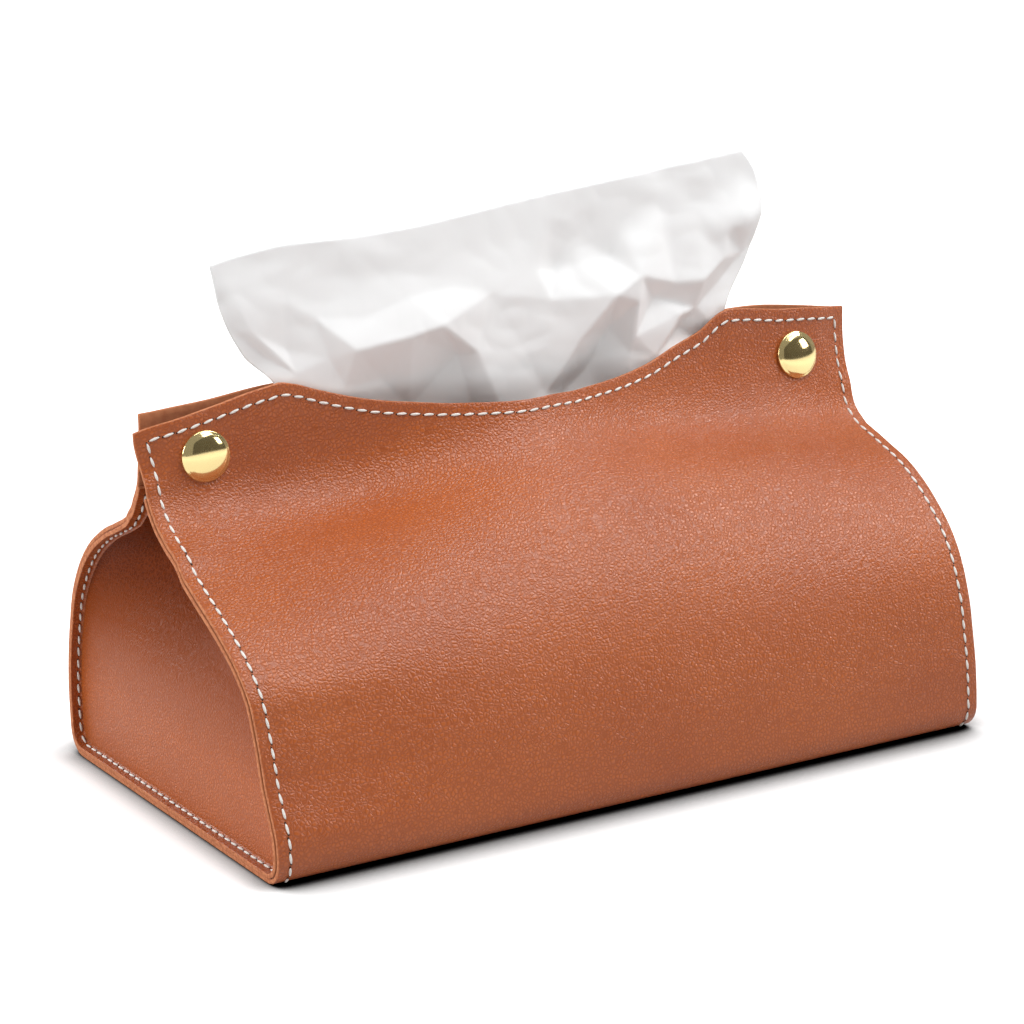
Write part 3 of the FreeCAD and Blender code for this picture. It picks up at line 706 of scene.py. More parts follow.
def thread_material(stitch):
    """Waxed white thread, laid from fine strands."""
    nodes = Nodes("waxed_thread")
    place = nodes.coordinates("Object")
    strands = nodes.noise(place, 2600.0, 2.0)
    colour = nodes.mix(nodes.spread(strands, 0.3, 0.7), tuple(stitch.colour), (0.72, 0.69, 0.64))
    return nodes.finish(Base_Color=colour, Roughness=0.6, Normal=nodes.bump(strands, 0.0001, 0.6))


def hole_shade_material():
    """Painted shade inside the awl holes: a near-black colour for the small blobs at the ends of
    each stitch.
    """
    nodes = Nodes("stitch_hole_shade")
    place = nodes.coordinates("Object")
    colour = nodes.mix(nodes.noise(place, 900.0), (0.035, 0.010, 0.004), (0.07, 0.02, 0.008))
    return nodes.finish(Base_Color=colour, Roughness=0.9)


def metal_material(name, colour, tint, roughness, scratch):
    """Plated or plain metal with faint marks from handling, tinted in soft patches."""
    nodes = Nodes(name)
    place = nodes.coordinates("Object")
    marks = nodes.noise(place, 320.0, 4.0, 0.6)
    shade = nodes.mix(nodes.spread(marks, 0.3, 0.7), tuple(colour), tint)
    fine = nodes.bump(marks, scratch, 0.3)
    rough = nodes.spread(marks, 0.3, 0.7, roughness, roughness * 1.5)
    return nodes.finish(Base_Color=shade, Metallic=1.0, Roughness=rough, Normal=fine)


def tissue_material(looks):
    """Soft paper with fine fibre and faint crumples, which lets light through."""
    nodes = Nodes("tissue_paper")
    place = nodes.coordinates("Object")
    fibre = nodes.noise(place, 1500.0, 3.0)
    crumple = nodes.noise(place, 70.0, 3.0, 0.55)
    colour = nodes.mix(nodes.spread(crumple, 0.3, 0.7), tuple(looks.tissue), (0.855, 0.90, 0.93))
    soft = nodes.bump(crumple, 0.0022, 0.35)
    soft = nodes.bump(fibre, 0.00012, 0.4, soft)
    material = nodes.finish(Base_Color=colour, Roughness=0.92, Normal=soft,
                            Specular_IOR_Level=0.15)
    through = nodes.add("ShaderNodeBsdfTranslucent")
    nodes.link(colour, through.inputs["Color"])
    nodes.link(soft, through.inputs["Normal"])
    both = nodes.add("ShaderNodeMixShader", Fac=0.5)
    nodes.link(nodes.shader.outputs["BSDF"], both.inputs[1])
    nodes.link(through.outputs["BSDF"], both.inputs[2])
    nodes.link(both.outputs["Shader"], nodes.tree.nodes["Material Output"].inputs["Surface"])
    return material


def pack_material(looks):
    """The edges of many folded tissues, one fine grey line of painted shade for each, where the
    gaps between them would lie in shadow.
    """
    nodes = Nodes("tissue_pack_layers")
    place = nodes.coordinates("Object")
    layers = nodes.add("ShaderNodeTexWave", wave_type="BANDS", bands_direction="Z", Scale=160.0,
                       Distortion=2.0, Detail=2.0)
    nodes.link(place, layers.inputs["Vector"])
    lines = layers.outputs["Fac"]
    # Painted shade: grey bands where the gaps between the sheets would lie in shadow; the same
    # bands also drive the bump.
    colour = nodes.mix(lines, (0.78, 0.78, 0.78), tuple(looks.tissue))
    return nodes.finish(Base_Color=colour, Roughness=0.92, Normal=nodes.bump(lines, 0.0006, 0.7),
                        Specular_IOR_Level=0.15)


def shared(name, make, *values):
    """The material of that name, made the first time it is asked for."""
    if name not in bpy.data.materials:
        make(*values)
    return bpy.data.materials[name]


def leather_set(looks, folded=False):
    """Materials of a leather piece: grain side, cut edge and inner face. On a folded gusset the
    grain side has painted shade towards its top.
    """
    grain = "tan_leather_folded" if folded else "tan_leather_grain"
    return [shared(grain, leather_material, looks, grain, folded),
            shared("leather_cut_edge", edge_material, looks),
            shared("leather_backing", backing_material, looks)]


# ---- stage -------------------------------------------------------------------------------
def camera_turn(stage):
    """Rotation that aims the camera by yaw, pitch and roll."""
    forward = Vector((math.sin(stage.yaw) * math.cos(stage.pitch),
                      math.cos(stage.yaw) * math.cos(stage.pitch), -math.sin(stage.pitch)))
    right = Vector((math.cos(stage.yaw), -math.sin(stage.yaw), 0.0))
    up = right.cross(forward)
    rolled_right = right * math.cos(stage.roll) + up * math.sin(stage.roll)
    rolled_up = up * math.cos(stage.roll) - right * math.sin(stage.roll)
    turn = Matrix((rolled_right, rolled_up, -forward)).transposed()
    return turn.to_4x4()


def area_light(name, place, target, size, power):
    """A white lamp of a width and height, aimed at a point."""
    data = bpy.data.lights.new(name, "AREA")
    data.shape = "RECTANGLE"
    data.size, data.size_y = size
    data.energy = power
    lamp = bpy.data.objects.new(name, data)
    lamp.location = place
    lamp.rotation_euler = (Vector(target) - Vector(place)).to_track_quat("-Z", "Y").to_euler()
    bpy.context.scene.collection.objects.link(lamp)
    return lamp


def floor_material(stage):
    """Pale floor: white to the camera, with a painted contact shadow that darkens it in the soft
    line of contact under the leather.
    """
    seen_paint, unseen_paint, mirrored_glow = 0.74, 0.62, 0.7
    nodes = Nodes("pale_floor")
    nodes.tree.nodes.remove(nodes.shader)
    place = nodes.coordinates("Object")
    across = nodes.add("ShaderNodeSeparateXYZ")
    nodes.link(place, across.inputs[0])
    away = nodes.add("ShaderNodeVectorMath", operation="LENGTH")
    nodes.link(place, away.inputs[0])
    # Painted contact shadow: ambient occlusion near the leather darkens the floor's colour and
    # its white glow; it reaches less far at the left end.
    reach = nodes.spread(across.outputs["X"], -0.135, -0.112, 0.012, 0.022, "SMOOTHSTEP")
    contact_occlusion = nodes.add("ShaderNodeAmbientOcclusion")
    nodes.link(reach, contact_occlusion.inputs["Distance"])
    clear_of_painted_shadow = nodes.spread(contact_occlusion.outputs["AO"], 0.33, 1.05, 0.0, 1.0, "SMOOTHSTEP")
    path = nodes.add("ShaderNodeLightPath")
    seen = path.outputs["Is Camera Ray"]
    shade = nodes.add("ShaderNodeMix", A=unseen_paint)
    nodes.link(seen, shade.inputs["Factor"])
    nodes.link(nodes.maths("MULTIPLY", clear_of_painted_shadow, seen_paint), shade.inputs["B"])
    paint = nodes.add("ShaderNodeBsdfDiffuse")
    nodes.link(shade.outputs["Result"], paint.inputs["Color"])
    white = nodes.spread(away.outputs["Value"], 0.22, 0.75, stage.floor_glow, 1.0,
                         "SMOOTHSTEP")
    mirrored = nodes.maths("MULTIPLY", path.outputs["Is Glossy Ray"], mirrored_glow)
    shown = nodes.maths("MAXIMUM", seen, mirrored)
    # The camera's white glow is cut by the painted contact shadow as well.
    strength = nodes.maths("MULTIPLY", nodes.maths("MULTIPLY", shown, white), clear_of_painted_shadow)
    glow = nodes.add("ShaderNodeEmission")
    nodes.link(strength, glow.inputs["Strength"])
    both = nodes.add("ShaderNodeAddShader")
    nodes.link(paint.outputs[0], both.inputs[0])
    nodes.link(glow.outputs[0], both.inputs[1])
    nodes.link(both.outputs[0], nodes.tree.nodes["Material Output"].inputs["Surface"])
    return nodes.material


def stage_card(name, cells, size, material):
    """A flat square of the stage about the origin, size from its middle to an edge."""
    mesh = bmesh.new()
    bmesh.ops.create_grid(mesh, x_segments=cells, y_segments=cells, size=size)
    data = bpy.data.meshes.new(name)
    mesh.to_mesh(data)
    mesh.free()
    data.materials.append(material)
    card = bpy.data.objects.new(name, data)
    bpy.context.scene.collection.objects.link(card)
    return card


class COVER_OT_stage(bpy.types.Operator):
    """Build the floor, the lights, the sky and the camera"""

    bl_idname = "tissue_cover.stage"
    bl_label = "Stage"

    def execute(self, context):
        stage = context.scene.cover_stage
        camera = bpy.data.objects.new("camera", bpy.data.cameras.new("camera"))
        camera.data.lens = stage.lens
        camera.data.sensor_width = 36.0
        camera.matrix_world = Matrix.Translation(stage.place) @ camera_turn(stage)
        context.scene.collection.objects.link(camera)
        context.scene.camera = camera
        stage_card("floor", cells=8, size=6.0, material=floor_material(stage))
        self.add_sky(stage)
        area_light("key", (0.5, -1.0, 3.25), (0.0, 0.0, 0.05), (2.4, 0.9), stage.key)
        area_light("strip", (1.50, -1.40, 2.58), (0.0, 0.0, 0.06), (2.4, 0.68), stage.strip)
        area_light("near_right", (0.62, -0.12, 0.80), (0.08, -0.04, 0.09), (0.3, 0.3), stage.near)
        area_light("left_fill", (-2.7, 0.2, 1.1), (0.0, 0.0, 0.05), (1.2, 1.2), stage.fill)
        area_light("back_fill", (-1.2, 2.6, 1.1), (0.0, 0.0, 0.12), (2.4, 1.0), stage.back)
        card = area_light("right_card", (2.43, -1.70, 1.20), (0.0, 0.0, 0.1), (0.9, 0.9),
                          stage.card)
        card.visible_diffuse = False
        self.add_dark_card()
        context.scene.view_settings.view_transform = "Standard"
        return {"FINISHED"}

    @staticmethod
    def add_dark_card():
        """A dark card that only mirrors see, for the band across the polished caps."""
        black = Nodes("dark_card").finish(Base_Color=(0.035, 0.03, 0.02), Roughness=1.0)
        card = stage_card("flag", cells=1, size=0.5, material=black)
        place = Vector((1.5, -2.6, 1.30))
        aim = Vector((place.x, place.y, 0.0)).to_track_quat("Z", "Y").to_matrix().to_4x4()
        card.matrix_world = (Matrix.Translation(place) @ aim
                             @ Matrix.Diagonal((6.0, 2.4, 1.0, 1.0)))
        card.visible_camera = False
        card.visible_diffuse = False
        card.visible_shadow = False

    @staticmethod
    def add_sky(stage):
        """Even light from all around, which the camera sees as white."""
        world = bpy.data.worlds.new("pale_sky")
        bpy.context.scene.world = world
        world.use_nodes = True
        tree = world.node_tree
        sky = tree.nodes["Background"]
        sky.inputs["Color"].default_value = (1.0, 1.0, 1.0, 1.0)
        level = tree.nodes.new("ShaderNodeMapRange")
        path = tree.nodes.new("ShaderNodeLightPath")
        tree.links.new(path.outputs["Is Camera Ray"], level.inputs["Value"])
        level.inputs["To Min"].default_value = stage.sky
        level.inputs["To Max"].default_value = 1.0
        tree.links.new(level.outputs["Result"], sky.inputs["Strength"])


# ---- wrap --------------------------------------------------------------------------------
class COVER_OT_wrap(bpy.types.Operator):
    """Build the front and back halves of the leather wrap"""

    bl_idname = "tissue_cover.wrap"
    bl_label = "Leather wrap"

    def execute(self, context):
        shape = context.scene.cover_shape
        looks = context.scene.cover_looks
        wrap = Wrap(shape)
        for side, nodes in ((FRONT, ("front_flap", "wrap_bottom")), (BACK, ("back_flap",))):
            piece = self.half(wrap, side, looks)
            give_thickness(piece, shape.ply)
            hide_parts(*nodes)
            bend_with(piece)
        return {"FINISHED"}

    def half(self, wrap, side, looks):
        """One side of the wrap, with its rows parted evenly below the bend and above it."""
        to_bend = wrap.profile(0.0).distance_to(BEND_LINE.y)
        typical = wrap.top_distance(HALF_LENGTH)
        bend_row = to_bend / typical

        def flat(u, v):
            x = (2 * u - 1) * HALF_LENGTH
            if v <= bend_row:
                return x, v * typical
            rest = (v - bend_row) / (1 - bend_row)
            return x, to_bend + rest * (wrap.top_distance(x) - to_bend)

        cell = wrap.shape.cell
        mesh = grid_mesh(round(2 * HALF_LENGTH / cell), round(typical / cell))
        place_grid(mesh, lambda u, v: wrap.point(side, *flat(u, v)), flat)
        inside = Vector((0.0, 0.0, 0.04))
        face_outwards(mesh, lambda face: (face.calc_center_median() - inside).dot(face.normal))
        return add_piece("leather_" + SIDE_NAME[side], mesh, leather_set(looks))


# ---- gussets -----------------------------------------------------------------------------
class COVER_OT_gussets(bpy.types.Operator):
    """Build the end gussets: turned flanges and folded panels, in front and back halves"""

    bl_idname = "tissue_cover.gussets"
    bl_label = "Gussets"

    def execute(self, context):
        shape = context.scene.cover_shape
        looks = context.scene.cover_looks
        wrap = Wrap(shape)
        for side in (FRONT, BACK):
            for end in (LEFT, RIGHT):
                name = END_NAME[end] + "_" + SIDE_NAME[side]
                hem = self.hem(wrap, side, end, "gusset_flange_" + name, looks)
                give_thickness(hem, shape.ply)
                bend_with(hem)
                web = self.web(wrap, side, end, "gusset_panel_" + name, looks)
                give_thickness(web, shape.ply, rounded=False)
                sharp_past(web, 50)
                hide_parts("gusset_" + END_NAME[end])
                self.bend_web(web, shape, side, end)
        return {"FINISHED"}

    def bend_web(self, web, shape, side, end):
        """Bakes the panel's placement into its mesh."""
        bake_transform(web)

    def hem(self, wrap, side, end, name, looks):
        """Flange against the wrap, then a turn inwards to the panel's plane."""
        shape = wrap.shape
        turn = shape.flange_turn
        straight = shape.flange + shape.flange_lip - turn
        curve = turn * math.pi / 2
        total = straight + curve
        top = wrap.profile(HALF_LENGTH).distance_to(shape.flange_top)
        rest = 2 * shape.ply + shape.seam_gap

        def place(u, v):
            run = u * total
            angle = max(0.0, run - straight) / turn
            back = min(run, straight) + turn * math.sin(angle)
            inset = rest + turn * (1 - math.cos(angle))
            point = wrap.point(side, end * HALF_LENGTH, v * top, -inset)
            panel = HALF_LENGTH - shape.flange
            edge = point.x * end + shape.flange_lip
            share = back / (shape.flange + shape.flange_lip)
            point.x = end * (edge + (panel - edge) * share)
            return point

        cells_across = 14
        mesh = grid_mesh(cells_across, round(top / wrap.shape.cell))
        place_grid(mesh, place, lambda u, v: (u * total, v * top))
        face_end(mesh, end)
        return add_piece(name, mesh, leather_set(looks))

    def web(self, wrap, side, end, name, looks):
        """Panel from the crease in the middle out to the flange's turn."""
        shape = wrap.shape
        low = inset = 2 * shape.ply + shape.seam_gap + shape.flange_turn
        plane = HALF_LENGTH - shape.flange
        reach = wrap.profile(HALF_LENGTH).distance_to(shape.pleat_top)
        rows = 400
        edge = [wrap.point(side, end * HALF_LENGTH, reach * i / rows, -inset)
                for i in range(rows + 1)]
        outline = sorted((point.z, abs(point.y)) for point in edge
                         if abs(point.y) > BULGE - shape.fold_radius or point.z > BEND_LINE.y)
        heights = [z for z, _ in outline]
        tall = shape.pleat_top - low
        full = shape.pleat_top - BEND_LINE.y
        ease, crease, narrowest = 0.004, 0.05, 0.0005

        def root(z):
            """Depth of the flange's turn at a height."""
            i = min(max(bisect.bisect_right(heights, z) - 1, 0), len(outline) - 2)
            (z0, d0), (z1, d1) = outline[i], outline[i + 1]
            return d0 + (d1 - d0) * (z - z0) / max(z1 - z0, 1e-9)

        def place(u, v):
            z = low + v * tall
            width = max(root(z), narrowest)
            inward = shape.pleat_depth * soft_ramp(z - BEND_LINE.y, ease) / full
            share = (1 + crease) - math.sqrt(u * u + crease * (2 + crease))
            share = max(0.0, share) / ((1 + crease) - math.sqrt(crease * (2 + crease)))
            return Vector((end * (plane - inward * share), side * u * width, z))

        flat_width = 0.07
        mesh = grid_mesh(round(flat_width / shape.cell), round(tall / shape.cell))
        place_grid(mesh, place, lambda u, v: (u * flat_width, v * tall))
        face_end(mesh, end)
        # Its grain side carries painted shade towards the top of the fold.
        return add_piece(name, mesh, leather_set(looks, folded=True))


# ---- stitching ---------------------------------------------------------------------------
class COVER_OT_stitching(bpy.types.Operator):
    """Sew the end edges, the top edges and the flanges with separate stitches"""

    bl_idname = "tissue_cover.stitching"
    bl_label = "Stitching"

    def execute(self, context):
        wrap = Wrap(context.scene.cover_shape)
        stitch = context.scene.cover_stitch
        one_stitch = one_ball((0.5 * stitch.length, stitch.thread, 0.9 * stitch.thread), 8, 6)
        hole_size = (0.0005, 0.00036, 0.0001)
        # The awl holes are small near-black blobs of painted shade, set just under the face at
        # each stitch's ends.
        one_hole = one_ball(hole_size, 8, 4)
        for side in (FRONT, BACK):
            seams = self.outer_seams(wrap, side, stitch)
            seams += [self.flange_seam(wrap, side, end, stitch) for end in (LEFT, RIGHT)]
            sewn = [self.sew(seam, stitch) for seam in seams]
            stitches = [place for row, _ in sewn for place in row]
            holes = [place for _, row in sewn for place in row]
            for name, unit, places, material in (
                    ("thread_", one_stitch, stitches,
                     shared("waxed_thread", thread_material, stitch)),
                    ("awl_hole_shade_", one_hole, holes, shared("stitch_hole_shade", hole_shade_material))):
                piece = add_piece(name + SIDE_NAME[side], repeated(unit, places), [material])
                bend_with(piece)
        bpy.data.meshes.remove(one_stitch)
        bpy.data.meshes.remove(one_hole)
        return {"FINISHED"}

    def outer_seams(self, wrap, side, stitch):
        """Up each end edge and along the top with its scoop, as (point, outward) pairs."""
        end_x = HALF_LENGTH - stitch.margin
        lowest = 0.0006
        start = wrap.profile(end_x).distance_to(lowest)
        stop = wrap.top_distance(end_x) - stitch.margin
        rise, run = round((stop - start) / SEAM_STEP), round(2 * end_x / SEAM_STEP)
        seams = [[self.on_face(wrap, side, end * end_x, start + (stop - start) * i / rise)
                  for i in range(rise + 1)] for end in (LEFT, RIGHT)]
        stations = [-end_x + 2 * end_x * i / run for i in range(run + 1)]
        seams.append([self.on_face(wrap, side, x, wrap.top_distance(x) - stitch.margin)
                      for x in stations])
        return seams

    @staticmethod
    def on_face(wrap, side, x, distance):
        """A point of the outer face and the direction away from it."""
        point = wrap.point(side, x, distance)
        return point, (wrap.point(side, x, distance, 0.001) - point).normalized()

    @staticmethod
    def flange_seam(wrap, side, end, stitch):
        """The same seam seen from inside, on the flange's inner face."""
        shape = wrap.shape
        below_top = 0.002
        top = wrap.profile(HALF_LENGTH).distance_to(shape.flange_top) - below_top
        count = round(top / SEAM_STEP)
        depth = 2 * shape.ply + shape.seam_gap
        x = end * (HALF_LENGTH - 0.6 * stitch.margin)
        seam = []
        for i in range(count + 1):
            point = wrap.point(side, x, top * i / count, -depth)
            inner = wrap.point(side, x, top * i / count, -depth - 0.001)
            seam.append((point, (inner - point).normalized()))
        return seam

    @staticmethod
    def sew(seam, stitch):
        """Places of the stitches and of the holes between them, at an even pitch."""
        reach = [0.0]
        for (a, _), (b, _) in zip(seam, seam[1:]):
            reach.append(reach[-1] + (b - a).length)

        def at(distance):
            i = min(bisect.bisect_right(reach, distance), len(seam) - 1)
            share = (distance - reach[i - 1]) / max(reach[i] - reach[i - 1], 1e-9)
            return seam[i - 1][0].lerp(seam[i][0], share), seam[i][1]

        stitches, holes = [], []
        hole_depth = 0.00005
        count = round(reach[-1] / stitch.pitch)
        for i in range(count):
            middle = (i + 0.5) * reach[-1] / count
            start, _ = at(middle - stitch.length / 2)
            end, _ = at(middle + stitch.length / 2)
            centre, outward = at(middle)
            along = (end - start).normalized()
            sideways = outward.cross(along).normalized()
            along = (along * math.cos(stitch.slant) + sideways * math.sin(stitch.slant))
            sideways = outward.cross(along).normalized()
            turn = Matrix((along, sideways, outward)).transposed().to_4x4()
            stitches.append(Matrix.Translation(centre + outward * 0.3 * stitch.thread) @ turn)
            for sign in (-1, 1):
                spot = centre + along * (sign * 0.5 * stitch.length)
                holes.append(Matrix.Translation(spot - outward * hole_depth) @ turn)
        return stitches, holes


def one_ball(size, across, along):
    """A small ball stretched to a size, as a mesh to repeat."""
    ball = bmesh.new()
    bmesh.ops.create_uvsphere(ball, u_segments=across, v_segments=along, radius=1.0,
                              matrix=Matrix.Diagonal((*size, 1.0))
                              @ Matrix.Rotation(math.pi / 2, 4, "Y"))
    data = bpy.data.meshes.new("one")
    ball.to_mesh(data)
    ball.free()
    return data


def repeated(unit, places):
    """One mesh with a copy of the unit at each place."""
    joined = bmesh.new()
    for place in places:
        copy = unit.copy()
        copy.transform(place)
        joined.from_mesh(copy)
        bpy.data.meshes.remove(copy)
    return joined


# ---- snap fasteners ----------------------------------------------------------------------
class COVER_OT_snaps(bpy.types.Operator):
    """Turn the polished caps and back rivets, and seat each snap's parts on the leather"""

    bl_idname = "tissue_cover.snaps"
    bl_label = "Snap fasteners"

    def execute(self, context):
        looks = context.scene.cover_looks
        wrap = Wrap(context.scene.cover_shape)
        dulled = [0.85 * part for part in looks.brass]
        brass, plain, steel = (
            shared(name, metal_material, name, colour, tint, roughness, scratch)
            for name, colour, tint, roughness, scratch in (
                ("polished_brass", looks.brass, (0.93, 0.92, 0.47), 0.06, 0.00002),
                ("plain_brass", dulled, (0.66, 0.50, 0.22), 0.3, 0.00005),
                ("spring_steel", looks.steel, (0.48, 0.48, 0.5), 0.28, 0.00005)))
        for end in (LEFT, RIGHT):
            front, back = self.seat(wrap, FRONT, end), self.seat(wrap, BACK, end)
            name = END_NAME[end]
            cap = self.turned("snap_dome_" + name, self.cap_profile(), front, brass)
            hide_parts("snap_cap_" + name)
            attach(cap, "front")
            rivet = self.turned("snap_rivet_" + name, self.rivet_profile(), back, brass)
            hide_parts("snap_eyelets")
            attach(rivet, "back")
            for node, part, seat, material, body in (
                    ("snap_posts", "snap_tube_", front, plain, "front"),
                    ("snap_sockets", "snap_cup_", front, plain, "front"),
                    ("snap_spring_" + name, "snap_ring_", front, steel, "front"),
                    ("snap_studs", "snap_nipple_", back, plain, "back")):
                self.carry(node, part + name, end, seat, material, body)
        return {"FINISHED"}

    @staticmethod
    def carry(node, name, end, seat, material, body):
        """Stands in for one end's part of a node with a copy of it, seated on the leather."""
        source = frame["nodes"][node]
        mesh = bmesh.new()
        mesh.from_mesh(source.data)
        mesh.transform(source.matrix_world)
        bmesh.ops.remove_doubles(mesh, verts=mesh.verts, dist=1e-7)
        others = [vert for vert in mesh.verts if vert.co.x * end < 0]
        bmesh.ops.delete(mesh, geom=others, context="VERTS")
        mesh.transform(seat @ Matrix.Translation((-end * SNAP_X, 0.0, -SNAP_HEIGHT)))
        piece = add_piece(name, mesh, [material])
        sharp_past(piece, 35)
        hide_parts(node)
        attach(piece, body)

    @staticmethod
    def seat(wrap, side, end):
        """Carries a snap's part from the frame's axis, with the leather's plain face at its
        own depth, to where the worn-in leather lies and leans."""
        shift_x, shift_z = SNAP_SHIFTS[end]
        goal = Vector((end * SNAP_X + shift_x / 1000, 0.0, SNAP_HEIGHT + shift_z / 1000))
        x, distance = goal.x, wrap.profile(goal.x).distance_to(goal.z)
        tries, step = 5, 0.004
        for _ in range(tries):
            middle = wrap.point(side, x, distance)
            x, distance = x + goal.x - middle.x, distance + goal.z - middle.z
        up = wrap.point(side, x, distance + step) - wrap.point(side, x, distance - step)
        along = wrap.point(side, x + step, distance) - wrap.point(side, x - step, distance)
        outward = along.cross(up).normalized() * (1 if side == FRONT else -1)
        plain = Vector((0.0, side * SNAP_FACE, 0.0))
        turn = Vector((0.0, side, 0.0)).rotation_difference(outward).to_matrix().to_4x4()
        return Matrix.Translation(middle) @ turn @ Matrix.Translation(-plain)

    @staticmethod
    def cap_profile():
        """Dome, rounded rim and turned-in edge, as (radius, y) pairs."""
        radius = (CAP_HIGH[0] - CAP_LOW[0]) / 2
        face, crown = CAP_HIGH[1], CAP_LOW[1]
        rim, turned_in, lip = 0.00065, 0.0055, 0.0003
        dome_steps, rim_steps, fullness = 24, 12, 0.86
        flat = radius - rim
        rise = (face - crown - 2 * rim) / (1 - math.sqrt(1 - fullness))
        points = []
        for i in range(dome_steps + 1):
            share = i / dome_steps
            sunk = rise * (1 - math.sqrt(1 - fullness * share ** 2))
            points.append((flat * share, crown + sunk))
        for i in range(1, rim_steps + 1):
            angle = math.radians(-60 + 150 * i / rim_steps)
            points.append((flat + rim * math.cos(angle), face - rim + rim * math.sin(angle)))
        points += [(turned_in, face), (turned_in, face - lip)]
        return points

    @staticmethod
    def rivet_profile():
        """Low rounded head of the back rivet with its open middle, as (radius, y) pairs."""
        low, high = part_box("snap_eyelets")
        face, top = 0.0034, high[1]
        radius = (high[2] - low[2]) / 2
        bore, tube, mouth, shoulder, lip = 0.0015, 0.0020, 0.0021, 0.0035, 0.0003
        steps = 12
        points = [(bore, low[1]), (bore, top - lip), (mouth, top)]
        for i in range(steps + 1):
            angle = math.radians(90 - 90 * i / steps)
            points.append((shoulder + (radius - shoulder) * math.cos(angle),
                           face + (top - face) * math.sin(angle)))
        points += [(tube, face), (tube, low[1])]
        return points

    @staticmethod
    def turned(name, profile, seat, material):
        """Spins a profile about the snap's axis and seats it on the leather."""
        mesh = bmesh.new()
        verts = [mesh.verts.new((radius, y, 0.0)) for radius, y in profile]
        edges = [mesh.edges.new(pair) for pair in zip(verts, verts[1:])]
        bmesh.ops.spin(mesh, geom=verts + edges, cent=(0.0, 0.0, 0.0), axis=(0.0, 1.0, 0.0),
                       angle=2 * math.pi, steps=72, use_merge=True, use_duplicate=False)
        bmesh.ops.remove_doubles(mesh, verts=mesh.verts, dist=1e-7)
        bmesh.ops.transform(mesh, matrix=seat, verts=mesh.verts)
        bmesh.ops.recalc_face_normals(mesh, faces=mesh.faces)
        return add_piece(name, mesh, [material])


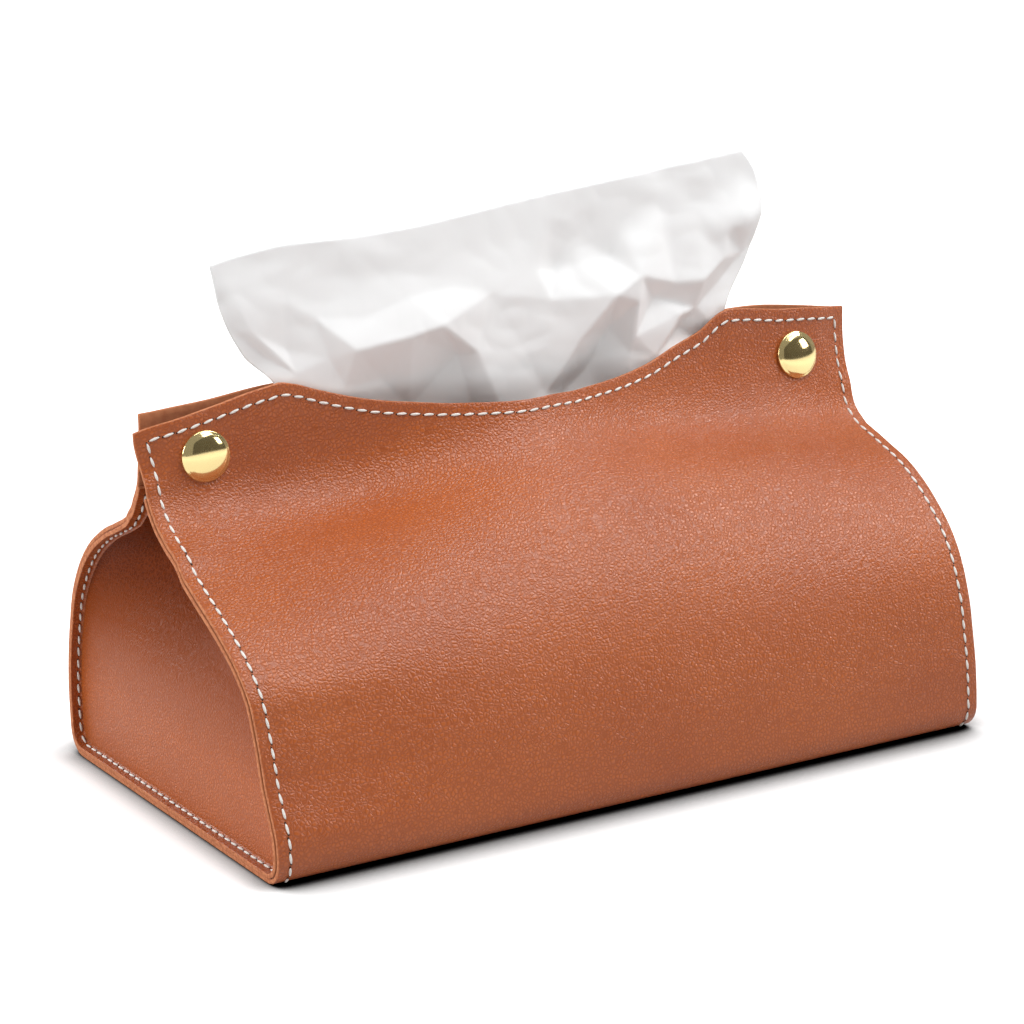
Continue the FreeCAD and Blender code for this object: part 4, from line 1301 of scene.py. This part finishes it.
# ---- tissues -----------------------------------------------------------------------------
class COVER_OT_tissues(bpy.types.Operator):
    """Make the pack of tissues and stand the next one in the mouth"""

    bl_idname = "tissue_cover.tissues"
    bl_label = "Tissues"

    def execute(self, context):
        looks = context.scene.cover_looks
        self.add_pack(looks)
        self.add_sheet(looks)
        return {"FINISHED"}

    def add_pack(self, looks):
        """A soft block with rounded upright edges and a slight crown."""
        low, high = (Vector(corner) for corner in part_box("tissue_pack"))
        size, middle = high - low, (low + high) / 2
        mesh = bmesh.new()
        bmesh.ops.create_cube(mesh, size=1.0, matrix=Matrix.Translation(middle)
                              @ Matrix.Diagonal((size.x, size.y, size.z, 1.0)))
        upright = [edge for edge in mesh.edges
                   if abs(edge.verts[0].co.z - edge.verts[1].co.z) > 0.5 * size.z]
        corner, sag, slip = 0.005, 0.003, 0.0004
        bmesh.ops.bevel(mesh, geom=upright, offset=corner, segments=5, profile=0.5,
                        affect="EDGES", material=-1)
        bmesh.ops.subdivide_edges(mesh, edges=mesh.edges[:], cuts=16, use_grid_fill=True)
        for vert in mesh.verts:
            away = max(abs(vert.co.x - middle.x) / size.x, abs(vert.co.y - middle.y) / size.y)
            crown = smooth_step(low.z, high.z, vert.co.z)
            vert.co.z -= sag * crown * (2 * away) ** 2
            layer = noise.noise(Vector((0.0, 0.0, vert.co.z * 900)))
            vert.co.x += slip * layer * (1 if vert.co.x > middle.x else -1)
        layers = shared("tissue_pack_layers", pack_material, looks)
        pack = add_piece("tissue_stack", mesh, [layers])
        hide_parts("tissue_pack")
        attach(pack, "base")

    def add_sheet(self, looks):
        """The standing tissue: a sheet gathered in the mouth, which opens and folds above."""
        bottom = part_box("tissue_sheet")[0][2]
        left = [(bottom, -TISSUE_FOOT), *TISSUE_LEFT]
        right = [(bottom, TISSUE_FOOT), *TISSUE_RIGHT]
        start, end = TISSUE_CREST[0][0], TISSUE_CREST[-1][0]
        self.half_gaps = self.mouth_gaps(bpy.context.scene.cover_shape)
        self.facets = self.folded_facets()

        def place(u, v):
            top = smooth_through(TISSUE_CREST, start * (1 - u) + end * u)
            z = bottom + v * (top - bottom)
            x = smooth_through(left, z) * (1 - u) + smooth_through(right, z) * u
            return Vector((x, -self.fold(x, z), z))

        mesh = grid_mesh(240, 150)
        place_grid(mesh, place, lambda u, v: (0.19 * u, 0.12 * v))
        paper = shared("tissue_paper", tissue_material, looks)
        sheet = add_piece("tissue_standing", mesh, [paper])
        shell = sheet.modifiers.new("Paper", "SOLIDIFY")
        shell.thickness = 0.0004
        shell.offset = 0.0
        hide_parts("tissue_sheet")
        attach(sheet, "tissue")

    @staticmethod
    def mouth_gaps(shape):
        """Room for the paper on each side of the centre plane, as (x, depth) pairs."""
        stations, clearance = 20, 0.0006
        closed = shape.ply_gap / 2
        opened = shape.mouth_half_depth - shape.mouth_lean - shape.ply
        gaps = []
        for i in range(stations + 1):
            share = 0.5 + 0.5 * math.cos(math.pi * i / stations)
            gaps.append((shape.pinch_x * i / stations,
                         closed + share * (opened - closed) - clearance))
        return gaps

    @staticmethod
    def folded_facets():
        """The facets between the creases, as a tree in which to look depths up."""
        corners, runs = [], []
        for line in CREASES:
            first = len(corners)
            corners += line
            runs += [(i, i + 1) for i in range(first, len(corners) - 1)]
        flat = [Vector((x, z)) for x, z, _ in corners]
        places, _, faces, sources, _, _ = delaunay_2d_cdt(flat, runs, [], 0, 1e-4)
        depths = [sum(corners[i][2] for i in found) / len(found) for found in sources]
        points = [(0.001 * place.x, 0.001 * depth, 0.001 * place.y)
                  for place, depth in zip(places, depths)]
        return BVHTree.FromPolygons(points, faces)

    def fold(self, x, z):
        """How far the paper stands towards the front: the mean depth of a few spots of the
        facets close by, then faint crumples, and waves where the foot is gathered."""
        spots, turn = 12, 2.4
        reach = 0.0006 + 0.0024 * smooth_step(0.140, 0.158, z)
        depth = 0.0
        for i in range(spots):
            away = Vector((math.cos(turn * i), 0.0, math.sin(turn * i)))
            start = Vector((x, -1.0, z)) + away * (reach * math.sqrt((i + 0.5) / spots))
            found = self.facets.ray_cast(start, Vector((0.0, 1.0, 0.0)))[0]
            depth += found.y / spots if found else 0.0
        depth += 0.0005 * noise.noise(Vector((x * 22, z * 26, 3.0)))
        depth += 0.0004 * abs(noise.noise(Vector((x * 40 + z * 50, z * 60 - x * 22, 5.0))))
        depth += 0.0003 * abs(noise.noise(Vector((x * 85 - z * 40, z * 120 + x * 30, 8.0))))
        foot = 1 - smooth_step(0.095, 0.112, z)
        depth += 0.004 * foot * math.sin(x * 130 + 2 * noise.noise(Vector((x * 30, 1.0, 2.0))))
        mouth, ease, lean = 0.1125, 0.002, 0.75
        room = smooth_through(self.half_gaps, abs(x)) + lean * soft_ramp(z - mouth, ease)
        return room * math.tanh(depth / room)


# ---- panel -------------------------------------------------------------------------------
STEPS = (COVER_OT_stage, COVER_OT_wrap, COVER_OT_gussets, COVER_OT_stitching, COVER_OT_snaps,
         COVER_OT_tissues)


class COVER_PT_panel(bpy.types.Panel):
    """Lists the pieces of the cover in the order in which they are made"""

    bl_idname = "COVER_PT_panel"
    bl_label = "Tissue Cover"
    bl_space_type = "VIEW_3D"
    bl_region_type = "UI"
    bl_category = "Tissue Cover"

    def draw(self, context):
        """One button for each step."""
        for step in STEPS:
            self.layout.operator(step.bl_idname)


SETTINGS = {"cover_shape": CoverShape, "cover_stitch": StitchSettings,
            "cover_looks": CoverLooks, "cover_stage": StageSettings}


def register():
    """Add the settings, the operators and the panel."""
    for group in SETTINGS.values():
        bpy.utils.register_class(group)
    for name, group in SETTINGS.items():
        setattr(bpy.types.Scene, name, PointerProperty(type=group))
    for step in STEPS:
        bpy.utils.register_class(step)
    bpy.utils.register_class(COVER_PT_panel)


def unregister():
    """Take them away again, in the opposite order."""
    bpy.utils.unregister_class(COVER_PT_panel)
    for step in reversed(STEPS):
        bpy.utils.unregister_class(step)
    for name, group in SETTINGS.items():
        delattr(bpy.types.Scene, name)
        bpy.utils.unregister_class(group)


def main():
    """Build everything in order."""
    register()
    for step in STEPS:
        group, name = step.bl_idname.split(".")
        getattr(getattr(bpy.ops, group), name)()


if __name__ == "__main__":
    main()
